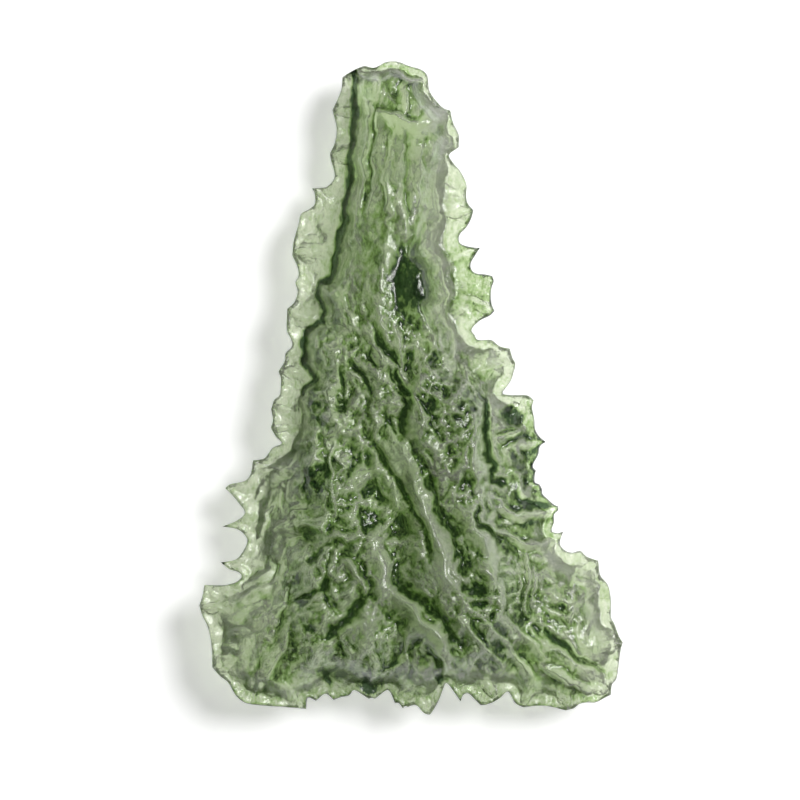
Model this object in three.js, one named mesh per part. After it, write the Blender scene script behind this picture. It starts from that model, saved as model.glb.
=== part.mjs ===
import * as THREE from 'three';

// A moldavite: one piece of green natural glass with a toothed rim, lying on its back.
// Millimetres. +Y runs along the stone to its narrow end, +Z is up, and the origin is
// on the surface it lies on, under the middle of its outline.

// Driving dimensions
const rimHeight = 3; // middle of the sharp rim above the surface
const rimThickness = 0.3;
const flangeRise = 0.45; // front of the thin flanges above the rim
const flangeFoot = 0.9; // distance over which a flange reaches that
const backDrop = 0.7; // back of the thin flanges below the rim
const backFoot = 1.1;
const bellyDrop = 1.3; // back of the thick body below that of the flanges
const bellyReach = 5;
const toothRise = 0.3; // rib that runs inward from each tooth
const toothReach = 0.8;
const hollowPitch = 2.3; // spacing of the etched hollows
const frontHollowDepth = 0.5;
const backHollowDepth = 0.6;
const hollowStretch = 1.9; // length of a hollow over its width
const leastThickness = 0.6;
const crestRunOut = 1.2;
const softBelow = -2; // the body's edge is steep above this Y and softens below it
const softBlend = 8;
const restSpot = { x: -0.5, y: -5.2, radiusX: 2.2, radiusY: 3, blend: 0.6, corners: 18 };
const restClearance = 0.22; // least gap under the rest of the back

// Mesh spacing
const rimStep = 0.6;
const frontStep = 0.58;
const backStep = 0.86;
const crestStep = 0.6;
const clearOfRow = 0.34;
const clearOfRim = 0.33;

// The rim as scallops: each list starts at the tip of a tooth and curves on to the next.
const scallops = [
  [[-4.35, 19.45], [-3.9, 19.75], [-3, 20.15], [-2.35, 20.05], [-1.6, 20.4], [-0.9, 20.42],
    [-0.1, 20.12], [0.5, 19.95], [0.95, 19.6], [1.12, 18.6], [1.5, 18], [2, 17.5]],
  [[2.42, 17.35], [2.6, 16.6], [2.95, 15.85]],
  [[2.95, 15.05], [2.35, 14.55], [2.6, 14.1], [3.1, 13.5], [3.45, 12.7], [3.42, 12.1], [3.5, 11.6]],
  [[3.88, 11.1], [3.7, 10.5], [3.4, 10], [3, 9.55], [3, 9.1], [3.2, 8.95], [3.8, 8.8]],
  [[4.28, 8.75], [4, 8.3], [3.7, 7.75], [3.75, 7.4], [4, 7.18], [4.6, 7.1]],
  [[5.05, 7], [5.15, 6.7], [5, 6.2], [5.02, 5.2]],
  [[5.2, 4.8], [4.9, 4.5], [4.3, 4.2], [3.75, 3.6], [3.95, 3.3], [4.1, 3.02], [5, 2.98], [5.5, 2.6]],
  [[6.15, 2.45], [6.3, 1.9], [6.5, 1.5], [6.4, 1], [6.25, 0.5], [6, 0.1], [5.7, -0.35], [6.2, -0.45],
    [7.3, -0.5]],
  [[7.65, -0.8], [7.55, -1.2], [7.7, -2], [7.75, -2.6], [8, -3.05]],
  [[8.4, -3.4], [8.05, -3.7], [7.95, -4.2], [7.6, -4.95]],
  [[7.8, -5.2], [7.72, -5.6], [7.75, -5.95], [8, -6.05]],
  [[8.2, -6.4], [8.2, -6.65], [8.5, -6.95], [8.95, -7.35]],
  [[9.2, -7.45], [9.2, -7.7], [8.95, -7.95], [8.95, -8.4], [8.8, -9], [9.1, -9.12]],
  [[9.5, -9.05], [9.3, -9.75], [9.4, -10], [9.7, -10.25], [10.1, -10.35], [10.55, -10.22], [11, -10.6]],
  [[11.7, -10.85], [11.85, -11.8], [12.3, -12.35], [12.5, -13.4], [12.5, -14.4], [12.7, -14.8], [13, -15.6]],
  [[13.22, -15.95], [13.1, -16.4], [13, -17.1], [12.8, -18.3], [12.55, -18.6]],
  [[12.48, -19.25], [12, -19.5], [11.5, -19.75], [11, -19.75], [10.5, -19.85], [10.2, -20.1]],
  [[9.65, -20.25], [8.6, -20], [7.9, -19.95]],
  [[7, -20.05], [6.5, -19.8], [6, -19.05], [5.6, -19.4]],
  [[5.1, -19.72], [4.6, -19.88]],
  [[4.3, -19.9], [4, -19.6], [3.5, -19.15], [3.25, -19.25]],
  [[3.05, -19.65], [2.8, -19.3], [2.15, -18.5], [2, -18.8], [1.7, -19.6], [1.3, -20.3]],
  [[1.15, -20.5], [0.8, -20.42], [0.3, -19.92], [0.1, -19.9]],
  [[-0.25, -20.02], [-0.4, -19.95]],
  [[-0.55, -20.12], [-0.85, -19.75]],
  [[-1.05, -19.8], [-1.35, -19.1], [-1.5, -18.95], [-1.9, -19.2]],
  [[-2.3, -19.52], [-2.5, -19.45]],
  [[-2.7, -19.52], [-3.1, -19.25], [-3.65, -18.97], [-3.8, -19.2]],
  [[-4, -19.35], [-4.35, -19.4]],
  [[-4.9, -19.6], [-5.2, -19.3], [-5.4, -19.2]],
  [[-6, -19.65], [-6.25, -19.5], [-6.5, -19.45]],
  [[-6.6, -20.15], [-8.3, -20], [-9.6, -19.9], [-10.4, -19.75], [-10.95, -19.35], [-11.5, -18.45],
    [-12, -18.05]],
  [[-12.48, -17.5], [-12.5, -16.5], [-12.6, -15.7], [-12.8, -14.9], [-13.1, -14.3]],
  [[-13.3, -13.65], [-13.1, -13]],
  [[-13, -12.35], [-11.6, -12.35], [-10.9, -12.1], [-10.65, -11.8], [-10.9, -11.55], [-11.4, -11.4]],
  [[-11.95, -10.95], [-11, -10.75], [-10.6, -10.3], [-10.3, -9.6], [-10.5, -9.2], [-10.9, -8.9]],
  [[-11.85, -8.7], [-11, -8.35], [-10.5, -7.95], [-10.5, -7.7], [-10.8, -7.3], [-11.2, -6.8]],
  [[-11.7, -6.3], [-11.4, -6.05], [-10.9, -5.95], [-10.4, -5.8], [-10.1, -5.4]],
  [[-9.95, -4.55], [-9.5, -4.5], [-9.2, -4.4], [-8.7, -3.75], [-8.15, -3.5], [-8.5, -3.1]],
  [[-8.85, -2.5], [-8.7, -2.1]],
  [[-8.8, -1.35], [-8.6, -0.75], [-8.3, -0.5], [-8.2, 0.1], [-8.2, 0.6]],
  [[-8.35, 1], [-7.95, 1.7], [-7.9, 2.15], [-7.5, 2.6], [-7.55, 3], [-7.8, 3.5]],
  [[-7.8, 4.95], [-7.4, 5.3], [-7.15, 6], [-7.3, 6.6], [-7.1, 7], [-7.15, 7.5]],
  [[-7.5, 8.3], [-7.4, 9.2], [-7.1, 10.3], [-6.95, 10.9], [-6.45, 11.2], [-6.1, 11.5], [-6.1, 12.2]],
  [[-6.25, 12.5], [-5.8, 12.55], [-5.35, 12.6], [-4.85, 13.2], [-5.05, 14.2]],
  [[-5.15, 14.65], [-4.85, 15.3], [-4.72, 16.3], [-4.85, 16.9]],
  [[-4.98, 17.4], [-4.6, 18.2], [-4.4, 18.8]],
];

// Raised parts of the front: an edge all round, soft in the lower half, then a gentle crown
const plateaus = [
  {
    // thick body, with the serrated step on its left and the scalloped one on its right
    step: 2.1,
    crown: 1.8,
    reach: 4,
    edge: 0.62,
    lowerEdge: 2.6,
    outline: [[-3.4, 19.4], [-3.2, 18.6], [-3.2, 17.5], [-3.25, 16], [-3.3, 15], [-3.55, 14],
      [-3.65, 12.5], [-3.75, 11.4], [-3.95, 10.6], [-4, 9.6], [-4.1, 9], [-4.2, 8.4], [-4.5, 7.7],
      [-4.65, 7.2], [-5, 6.5], [-5.4, 6.3], [-5.5, 6.1], [-5.4, 5.3], [-5.2, 4.7], [-5.3, 4.35],
      [-5.15, 4], [-5.7, 3.5], [-6.2, 3.1], [-6.45, 2.8], [-6.35, 2.3], [-6.3, 1.5], [-5.9, 1.1],
      [-5.5, 0.6], [-5.7, 0.2], [-6.2, -0.1], [-6.4, -0.3], [-6.25, -0.65], [-6.6, -1], [-6.5, -1.5],
      [-6.5, -2.2], [-6.6, -2.8], [-7, -3.5], [-6.2, -3.7], [-6.7, -4.3], [-7, -5], [-7, -6], [-6.5, -7],
      [-5.8, -7.5], [-6.6, -8.3], [-6.7, -8.9], [-6.3, -9.9], [-7, -10.8], [-7.5, -13], [-7.4, -15.2],
      [-6.6, -17], [-5, -17.4], [-2.6, -18.3], [0, -18.4], [1.7, -18.4], [3.2, -17.3], [5.4, -17],
      [6.4, -14], [5.8, -11], [5.2, -8.6], [4.8, -6.8], [5.2, -5], [4.7, -3], [4.3, -0.4], [3.4, 0.3],
      [2.4, 0.4], [1.9, 1.4], [2.05, 2.8], [1.9, 3.3], [1.5, 3.9], [1.4, 4.5], [1.3, 5.2], [1.5, 5.8],
      [1.3, 6.5], [1.35, 7.5], [0.9, 7.8], [0.65, 8.1], [0.65, 8.7], [0.8, 9.3], [1.2, 10.1], [1.2, 11.6],
      [1.4, 12.5], [1.6, 13.4], [2.2, 14.4], [2.2, 15.8], [1.9, 16.9], [1.1, 17.8], [0.6, 19.4],
      [-1, 19.8]],
  },
  {
    // lower right lobe and the shoulder above it
    step: 0.8,
    crown: 1.1,
    reach: 3,
    edge: 0.9,
    lowerEdge: 2.2,
    outline: [[1.6, 4], [3.3, 2.9], [5, 2.3], [5.7, 1], [5.2, -0.4], [6.8, -1.2], [7, -2.6], [6.9, -4.8],
      [7.4, -6.6], [8.2, -8.2], [8.4, -10], [10, -11.2], [11.2, -12.4], [11.7, -15], [12, -17.4],
      [11, -18.9], [7.4, -19.1], [4.6, -18.4], [1, -18.8], [-1, -16], [0, -8], [0, 0]],
  },
  {
    // lower left lobe
    step: 0.7,
    crown: 1,
    reach: 3,
    edge: 0.9,
    lowerEdge: 2.2,
    outline: [[-6, -3], [-7.9, -4.3], [-9, -6.3], [-9.2, -9], [-9.3, -11.4], [-11.8, -13.3], [-11.6, -16],
      [-10.6, -18.2], [-8.6, -19.2], [-6.8, -19.1], [-5, -18.6], [-2, -18.4], [-1, -16], [-2, -8]],
  },
];

// Crests, and grooves where the height is below zero, with their width on the left and right of the path
const crests = [
  // long middle ridge, the line on its left and the valley on its right
  { height: 1.1, left: 0.7, right: 1.4, path: [[-0.9, -3.4], [-0.6, -4], [0, -5.5], [0.5, -6.8], [1.1, -8.2],
    [1.6, -9.5], [2, -11], [2.6, -12.2], [3, -12.8]] },
  { height: -0.8, left: 0.5, right: 0.6, path: [[-2.3, -3.4], [-1.8, -4.3], [-1.3, -5.2], [-0.4, -6.7],
    [0.1, -7.3], [0.6, -8], [0.9, -9], [1.2, -10.7]] },
  { height: -0.9, left: 1.1, right: 0.5, path: [[0.9, -5.4], [1.3, -6.3], [1.9, -7.6], [2.5, -9], [2.9, -10.5],
    [3.5, -12.2]] },
  // lower ridge, and the valleys on both sides of it
  { height: 1.2, left: 0.6, right: 1.3, path: [[-1.9, -9.5], [-1.7, -11], [-1.6, -12.2], [-1, -12.9],
    [-0.3, -13.5], [0.5, -14.4], [1.3, -15.1], [1.9, -15.9], [2.2, -16.6]] },
  { height: -0.9, left: 0.8, right: 0.5, path: [[-1, -11.8], [-0.4, -12.5], [0, -13], [0.8, -13.4],
    [1.5, -13.9], [2.1, -14.7], [2.7, -16.1]] },
  { height: -1.3, left: 0.8, right: 0.8, path: [[-2.9, -12.2], [-3.2, -13.3], [-4, -14.2], [-5, -15.2],
    [-5.8, -15.9]] },
  { height: 0.8, left: 0.5, right: 0.8, path: [[3.9, -8.5], [4.5, -9.5], [5.2, -10.2], [5.9, -10.6]] },
  // folded groove in the middle of the body
  { height: -1.1, left: 0.7, right: 0.5, path: [[-2.5, 3.4], [-1.9, 2.4], [-1.1, 1.8], [-0.9, 1.5]] },
  { height: -1.1, left: 0.5, right: 0.75, path: [[-0.9, 1.5], [-1, 1], [-0.7, 0.5], [-0.1, -0.4],
    [0.3, -0.65]] },
  { height: -0.9, left: 0.5, right: 0.5, path: [[-0.5, -0.4], [-0.4, -1], [-0.5, -2], [-0.5, -3.2]] },
  { height: -0.6, left: 0.5, right: 0.5, path: [[-3.9, 1.95], [-3.4, 1.4], [-2.8, 0.5], [-2.6, -0.1]] },
  { height: 0.5, left: 0.8, right: 0.5, path: [[-5.9, -1.9], [-5, -2.2], [-4.2, -2.3]] },
  // deep crevice at the right, the strip beside it and the ribs beyond it
  { height: -1.9, left: 0.5, right: 0.5, path: [[4.2, -0.35], [4.6, -1.4], [4.7, -2.9], [4.8, -3.6],
    [4.7, -4.2], [5.15, -5], [5.1, -5.6], [5.7, -5.8]] },
  { height: 0.5, left: 0.7, right: 0.5, path: [[3.7, -2.8], [3.6, -3.5], [3.75, -5], [4, -6.8]] },
  { height: -0.8, left: 0.5, right: 0.5, path: [[4.2, -7], [4.1, -7.9], [4.7, -8.6], [5.7, -9.3]] },
  { height: 0.6, left: 0.5, right: 0.5, path: [[5.3, -3.3], [6, -3], [6.8, -2.6]] },
  { height: 0.7, left: 0.5, right: 0.5, path: [[6.1, -3.7], [7, -3.4], [8.2, -3.35]] },
  { height: 0.9, left: 0.5, right: 0.6, path: [[5.3, -7], [5.6, -7.5], [6.6, -7.9], [7.5, -7.85],
    [9.1, -7.5]] },
  { height: 0.8, left: 0.5, right: 0.5, path: [[5.2, -8], [5.2, -8.8], [6.4, -9.4], [7, -9.75], [9.1, -9.75]] },
  // groove and chipped bowl of the narrow end
  { height: -0.5, left: 0.5, right: 0.5, path: [[-2.2, 17.2], [-2.3, 15.3], [-2.6, 12.5], [-2.8, 10.8]] },
  { height: 0.6, left: 0.5, right: 1.3, path: [[-2.2, 17.3], [-1.3, 16.9], [-0.3, 16.4], [0.6, 16.4],
    [1.3, 17.2]] },
  // left side of the body
  { height: 0.8, left: 0.5, right: 0.7, path: [[-4, -6.5], [-3.3, -6], [-2.6, -5.3]] },
  { height: 0.6, left: 0.6, right: 0.5, path: [[-5.2, -10], [-4.6, -9.15], [-4, -9.5], [-3.3, -8.8]] },
  { height: 0.8, left: 0.5, right: 0.8, path: [[-4.6, -11.5], [-4, -10.8], [-3.5, -11.2], [-2.9, -12.8]] },
  { height: -0.8, left: 0.5, right: 0.5, path: [[-7.3, -13.2], [-6.5, -13], [-5.8, -12.5], [-5, -11.5]] },
  // lower left lobe
  { height: 1, left: 0.5, right: 0.7, path: [[-7.6, -15.1], [-8, -16], [-9.3, -18.2], [-9.6, -18.7]] },
  { height: 0.5, left: 0.5, right: 0.5, path: [[-11.5, -12.6], [-10, -12.1], [-8.5, -11.4]] },
  { height: 0.5, left: 0.5, right: 0.5, path: [[-8.6, -7.2], [-9.2, -7.9], [-9.2, -9], [-10.2, -10]] },
  // lower right lobe
  { height: 0.7, left: 0.5, right: 0.5, path: [[7.1, -10.2], [7.15, -12.4], [7.1, -14.2]] },
  { height: -0.8, left: 0.5, right: 0.6, path: [[8, -15], [9.8, -16.1], [10.4, -16.8], [11.6, -17.2],
    [12.3, -17.9]] },
  { height: 0.7, left: 0.5, right: 0.5, path: [[8.4, -17.4], [9.8, -18.5], [10.8, -19], [11.8, -19.2]] },
  { height: 0.6, left: 0.5, right: 0.6, path: [[4.3, -14.2], [5.6, -15.6], [7, -17.1], [7.6, -18.2]] },
  { height: -0.9, left: 0.5, right: 0.5, path: [[1.2, -16], [1.5, -16.6], [1.75, -17.3], [1.8, -18.2]] },
];

// Basins and pits
const pits = [
  { x: 0.1, y: 6.4, radiusX: 1.4, radiusY: 2.3, depth: 1 },
  { x: -6.1, y: -5.2, radiusX: 1.25, radiusY: 1.8, depth: 1.3 },
  { x: -6.3, y: -9.2, radiusX: 0.8, radiusY: 0.9, depth: 1 },
  { x: -2.6, y: -8.2, radiusX: 0.9, radiusY: 1, depth: 0.8 },
  { x: -0.9, y: -8.6, radiusX: 1, radiusY: 1.1, depth: 0.8 },
  { x: -2.3, y: -6.3, radiusX: 0.8, radiusY: 0.8, depth: 0.6 },
  { x: -2.9, y: -4.6, radiusX: 0.7, radiusY: 0.6, depth: 0.7 },
  { x: -6.7, y: -13.4, radiusX: 0.75, radiusY: 0.6, depth: 0.9 },
  { x: -7.9, y: -17.6, radiusX: 1.1, radiusY: 1.1, depth: 0.6 },
  { x: 1.5, y: 1.7, radiusX: 0.6, radiusY: 0.65, depth: 0.6 },
  { x: 1.2, y: -1.6, radiusX: 0.75, radiusY: 0.95, depth: 0.9 },
  { x: 6.3, y: -1.7, radiusX: 1, radiusY: 0.8, depth: 0.8 },
  { x: 7.9, y: -11.1, radiusX: 0.65, radiusY: 0.6, depth: 0.6 },
  { x: 3.9, y: -12.6, radiusX: 0.9, radiusY: 0.6, depth: 1 },
  { x: -11.3, y: -13.6, radiusX: 1, radiusY: 0.8, depth: 0.3 },
  { x: -0.5, y: 18.4, radiusX: 1.8, radiusY: 1.4, depth: 0.6 },
  { x: -5, y: -18, radiusX: 1, radiusY: 0.9, depth: 0.8 },
  { x: -2.6, y: -18.6, radiusX: 1, radiusY: 0.8, depth: 0.8 },
];

const clamp = THREE.MathUtils.clamp;
const ease = (value) => THREE.MathUtils.smoothstep(value, 0, 1);

// A fixed number between 0 and 1 for each pair of whole numbers
function scatter(i, j, seed) {
  const wave = Math.sin(i * 127.1 + j * 311.7 + seed * 74.7) * 43758.5453;
  return wave - Math.floor(wave);
}

// Rim points, each with its place between two teeth (0 at one tip, 1 at the next) and their distance
function traceRim() {
  const rim = [];
  scallops.forEach((scallop, index) => {
    const next = scallops[(index + 1) % scallops.length];
    const points = [...scallop, next[0]].map(([x, y]) => new THREE.Vector3(x, y, 0));
    const curve = new THREE.CatmullRomCurve3(points, false, 'centripetal');
    const count = Math.max(1, Math.round(curve.getLength() / rimStep));
    const spaced = curve.getSpacedPoints(count);
    const span = spaced[0].distanceTo(spaced[count]);
    for (let i = 0; i < count; i++) {
      rim.push({ x: spaced[i].x, y: spaced[i].y, place: i / count, nextPlace: (i + 1) / count, span });
    }
  });
  return rim;
}

// Nearest point of a path: its distance, the segment it is on, how far along that, and whether the
// place lies on the path's left
function nearest(x, y, path, closed) {
  const best = { distance: Infinity, index: 0, along: 0, onLeft: false };
  const segments = closed ? path.length : path.length - 1;
  for (let i = 0; i < segments; i++) {
    const a = path[i];
    const b = path[(i + 1) % path.length];
    const dx = b[0] - a[0];
    const dy = b[1] - a[1];
    const along = clamp(((x - a[0]) * dx + (y - a[1]) * dy) / (dx * dx + dy * dy), 0, 1);
    const distance = Math.hypot(x - a[0] - along * dx, y - a[1] - along * dy);
    const onLeft = dx * (y - a[1]) - dy * (x - a[0]) > 0;
    if (distance < best.distance) Object.assign(best, { distance, index: i, along, onLeft });
  }
  return best;
}

function isInside(x, y, path) {
  let inside = false;
  for (let i = 0, j = path.length - 1; i < path.length; j = i++) {
    const [ax, ay] = path[i];
    const [bx, by] = path[j];
    if (ay > y !== by > y && x < ((bx - ax) * (y - ay)) / (by - ay) + ax) inside = !inside;
  }
  return inside;
}

// Slow wave of the rim's height
function rimLevel(x, y) {
  return rimHeight + 0.3 * Math.sin(0.33 * y + 0.9) + 0.25 * Math.sin(0.45 * x + 0.4);
}

function plateauHeight(x, y) {
  let height = 0;
  for (const { step, crown, reach, edge, lowerEdge, outline } of plateaus) {
    const inward = nearest(x, y, outline, true).distance * (isInside(x, y, outline) ? 1 : -1);
    const edgeHere = THREE.MathUtils.lerp(edge, lowerEdge, ease((softBelow - y) / softBlend));
    height += step * ease(inward / edgeHere + 0.5);
    if (inward > 0) height += crown * (1 - Math.exp(-inward / reach));
  }
  return height;
}

// Crests are sharp along their path and run out at both ends
function crestHeight(x, y) {
  let total = 0;
  for (const { height, left, right, path } of crests) {
    const { distance, onLeft } = nearest(x, y, path, false);
    const nearness = 1 - distance / (onLeft ? left : right);
    if (nearness > 0) {
      const ends = [path[0], path[path.length - 1]];
      const fromEnd = Math.min(...ends.map(([endX, endY]) => Math.hypot(x - endX, y - endY)));
      total += height * nearness ** 1.5 * Math.min(0.2 + fromEnd / crestRunOut, 1);
    }
  }
  return total;
}

function pitDepth(x, y) {
  let depth = 0;
  for (const pit of pits) {
    const square = ((x - pit.x) / pit.radiusX) ** 2 + ((y - pit.y) / pit.radiusY) ** 2;
    if (square < 1) depth += pit.depth * (1 - square) ** 0.9;
  }
  return depth;
}

// Etched hollows: round-bottomed scoops that meet in sharp crests. They are drawn out along
// the flow of the glass, which fans out towards the wide end.
function hollows(x, y, pitch, seed) {
  const rowHeight = pitch * 0.87;
  const row = Math.round(y / rowHeight);
  let least = Infinity;
  for (let j = row - 3; j <= row + 3; j++) {
    const shift = (Math.abs(j) % 2) / 2;
    const column = Math.round(x / pitch - shift);
    for (let i = column - 3; i <= column + 3; i++) {
      const cx = (i + shift + 0.8 * (scatter(i, j, seed) - 0.5)) * pitch;
      const cy = (j + 0.8 * (scatter(i, j, seed + 1) - 0.5)) * rowHeight;
      const fan = 0.09 * (cx + 0.5) * ease((6 - cy) / 14) + 0.5 * (scatter(i, j, seed + 2) - 0.5);
      const length = Math.hypot(fan, 1);
      const along = ((x - cx) * fan - (y - cy)) / length;
      const across = ((x - cx) + (y - cy) * fan) / length;
      const square = (along / hollowStretch) ** 2 + across ** 2;
      least = Math.min(least, (4 * square) / (pitch * pitch));
    }
  }
  return Math.min(least, 1.6) - 0.5;
}

const rim = traceRim();
const rimPath = rim.map(({ x, y }) => [x, y]);

// Distance from the rim, and the place between two teeth of the rim's nearest point
function rimInfo(x, y) {
  const { distance, index, along } = nearest(x, y, rimPath, true);
  const { place, nextPlace, span } = rim[index];
  return { distance, place: THREE.MathUtils.lerp(place, nextPlace, along), span };
}

// Rib that runs inward from each tooth, with a hollow on both sides
function toothRib({ distance, place, span }) {
  const size = toothRise * Math.min(span / 2, 1);
  const reach = distance / toothReach;
  return size * (2 * Math.abs(2 * place - 1) ** 1.6 - 1) * reach * Math.exp(1 - reach);
}

function frontHeight(x, y) {
  const info = rimInfo(x, y);
  const foot = 1 - Math.exp(-info.distance / flangeFoot);
  const flange = rimLevel(x, y) + rimThickness / 2 + flangeRise * foot + toothRib(info);
  const etched = frontHollowDepth * hollows(x, y, hollowPitch, 3) * Math.min(info.distance / 2.5, 1);
  return flange + (plateauHeight(x, y) + crestHeight(x, y) - pitDepth(x, y) + etched) * ease(info.distance);
}

// How many times its own radius a place lies from the middle of the rest spot
function fromRestSpot(x, y) {
  return Math.hypot((x - restSpot.x) / restSpot.radiusX, (y - restSpot.y) / restSpot.radiusY);
}

function backHeight(x, y) {
  const info = rimInfo(x, y);
  const foot = backDrop * (1 - Math.exp(-info.distance / backFoot));
  const belly = foot + bellyDrop * ease(info.distance / bellyReach) + 0.7 * toothRib(info);
  const etched = backHollowDepth * hollows(x, y, hollowPitch, 11) * Math.min(info.distance / 2.5, 1);
  const free = Math.max(rimLevel(x, y) - rimThickness / 2 - belly - 0.8 * etched, restClearance);
  return free * ease((fromRestSpot(x, y) - 1) / restSpot.blend);
}

// Even points along a path, moved sideways
function pointsAlong(path, closed, offset) {
  const corners = path.map(([x, y]) => new THREE.Vector3(x, y, 0));
  const curve = new THREE.CatmullRomCurve3(corners, closed, 'centripetal');
  const count = Math.ceil(curve.getLength() / crestStep);
  return curve.getSpacedPoints(count).map((point, i) => {
    const tangent = curve.getTangentAt(i / count);
    return [point.x - offset * tangent.y, point.y + offset * tangent.x];
  });
}

// Rows of points on the front, along the steep edge of the body and along the crests
function frontRows() {
  const { edge, outline } = plateaus[0];
  const foot = pointsAlong(outline, true, edge / 2);
  const brow = pointsAlong(outline, true, -edge / 2);
  const steep = [...foot, ...brow].filter(([, y]) => y > softBelow - softBlend / 2);
  return [...steep, ...crests.flatMap(({ path }) => pointsAlong(path, false, 0))];
}

// Row of points on the back, round the rest spot
function restRow() {
  return Array.from({ length: restSpot.corners }, (_, i) => {
    const angle = (2 * Math.PI * i) / restSpot.corners;
    return [restSpot.x + restSpot.radiusX * Math.cos(angle), restSpot.y + restSpot.radiusY * Math.sin(angle)];
  });
}

// Points inside the rim: some rows, and the rest on a grid of even triangles outside the area left bare
function innerPoints(step, rows, isBare) {
  const points = [];
  const isFree = (x, y) => isInside(x, y, rimPath) && nearest(x, y, rimPath, true).distance > clearOfRim;
  const isCrowded = (others, x, y) => others.some((p) => Math.hypot(p[0] - x, p[1] - y) < clearOfRow);
  for (const [x, y] of rows) {
    if (isFree(x, y) && !isCrowded(points, x, y)) points.push([x, y]);
  }
  const onRows = points.slice();
  const rowHeight = step * 0.866;
  for (let j = Math.floor(-21 / rowHeight); j * rowHeight < 21; j++) {
    for (let i = Math.floor(-14 / step); i * step < 14; i++) {
      const x = (i + (Math.abs(j) % 2) / 2) * step;
      const y = j * rowHeight;
      if (isFree(x, y) && !isBare(x, y) && !isCrowded(onRows, x, y)) points.push([x, y]);
    }
  }
  return points;
}

// Delaunay triangles of a set of points, by adding the points one at a time
function triangulate(points) {
  const far = 400;
  const all = [...points, [-far, -far], [far, -far], [0, far]];
  const withCircle = (a, b, c) => {
    const [ax, ay] = all[a];
    const [bx, by] = [all[b][0] - ax, all[b][1] - ay];
    const [cx, cy] = [all[c][0] - ax, all[c][1] - ay];
    const twice = 2 * (bx * cy - by * cx);
    const ux = (cy * (bx * bx + by * by) - by * (cx * cx + cy * cy)) / twice;
    const uy = (bx * (cx * cx + cy * cy) - cx * (bx * bx + by * by)) / twice;
    return { corners: [a, b, c], x: ax + ux, y: ay + uy, square: ux * ux + uy * uy };
  };
  let triangles = [withCircle(points.length, points.length + 1, points.length + 2)];
  points.forEach(([x, y], index) => {
    const edges = new Map();
    const kept = [];
    for (const triangle of triangles) {
      if ((x - triangle.x) ** 2 + (y - triangle.y) ** 2 > triangle.square) {
        kept.push(triangle);
        continue;
      }
      const [a, b, c] = triangle.corners;
      for (const [from, to] of [[a, b], [b, c], [c, a]]) {
        const twin = `${to},${from}`;
        if (!edges.delete(twin)) edges.set(`${from},${to}`, [from, to]);
      }
    }
    for (const [from, to] of edges.values()) kept.push(withCircle(from, to, index));
    triangles = kept;
  });
  return triangles.map(({ corners }) => corners).filter((corners) => Math.max(...corners) < points.length);
}

// Fills the rim with triangles. Names the rim edges that no triangle has, so that they can be halved.
function fillRim(border, inner) {
  const points = [...border, ...inner];
  const middle = (corners, axis) => corners.reduce((sum, corner) => sum + points[corner][axis], 0) / 3;
  const inRim = (corners) => isInside(middle(corners, 0), middle(corners, 1), border);
  const triangles = triangulate(points).filter(inRim);
  const edges = new Set(triangles.flatMap(([a, b, c]) => [`${a},${b}`, `${b},${c}`, `${c},${a}`]));
  const missing = border.map((_, i) => i).filter((i) => {
    const next = (i + 1) % border.length;
    return edges.has(`${i},${next}`) === edges.has(`${next},${i}`);
  });
  return { points, triangles, missing };
}

// Closed stone: front, back and the narrow band of the rim between them
function buildStone() {
  const frontPoints = innerPoints(frontStep, frontRows(), () => false);
  const backPoints = innerPoints(backStep, restRow(), (x, y) => fromRestSpot(x, y) < 1.1);
  let border = rimPath;
  let front = fillRim(border, frontPoints);
  let back = fillRim(border, backPoints);
  while (front.missing.length + back.missing.length > 0) {
    const split = new Set([...front.missing, ...back.missing]);
    border = border.flatMap((point, i) => {
      const next = border[(i + 1) % border.length];
      return split.has(i) ? [point, [(point[0] + next[0]) / 2, (point[1] + next[1]) / 2]] : [point];
    });
    front = fillRim(border, frontPoints);
    back = fillRim(border, backPoints);
  }

  const positions = [];
  for (const [x, y] of front.points) {
    positions.push(x, y, Math.max(frontHeight(x, y), backHeight(x, y) + leastThickness));
  }
  for (const [x, y] of back.points) positions.push(x, y, backHeight(x, y));
  const under = front.points.length;
  const faces = front.triangles.flat();
  for (const [a, b, c] of back.triangles) faces.push(under + a, under + c, under + b);
  border.forEach((_, i) => {
    const next = (i + 1) % border.length;
    faces.push(i, next, under + next);
    faces.push(i, under + next, under + i);
  });

  const geometry = new THREE.BufferGeometry();
  geometry.setAttribute('position', new THREE.Float32BufferAttribute(positions, 3));
  geometry.setIndex(faces);
  geometry.computeBoundingBox();
  const centre = geometry.boundingBox.getCenter(new THREE.Vector3());
  geometry.translate(-centre.x, -centre.y, 0);
  geometry.computeVertexNormals();
  return geometry;
}

const mossGreenGlass = new THREE.MeshStandardMaterial({
  name: 'moldavite glass',
  color: new THREE.Color(0.42, 0.51, 0.32),
  roughness: 0.12,
  metalness: 0,
  transparent: true,
  opacity: 0.75,
});

const moldavite = new THREE.Mesh(buildStone(), mossGreenGlass);
moldavite.name = 'moldavite';

const stone = new THREE.Group();
stone.add(moldavite);

export default stone;
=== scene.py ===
import math

import bpy
import numpy as np
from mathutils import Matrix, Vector, kdtree, noise
from mathutils.geometry import delaunay_2d_cdt


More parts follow.
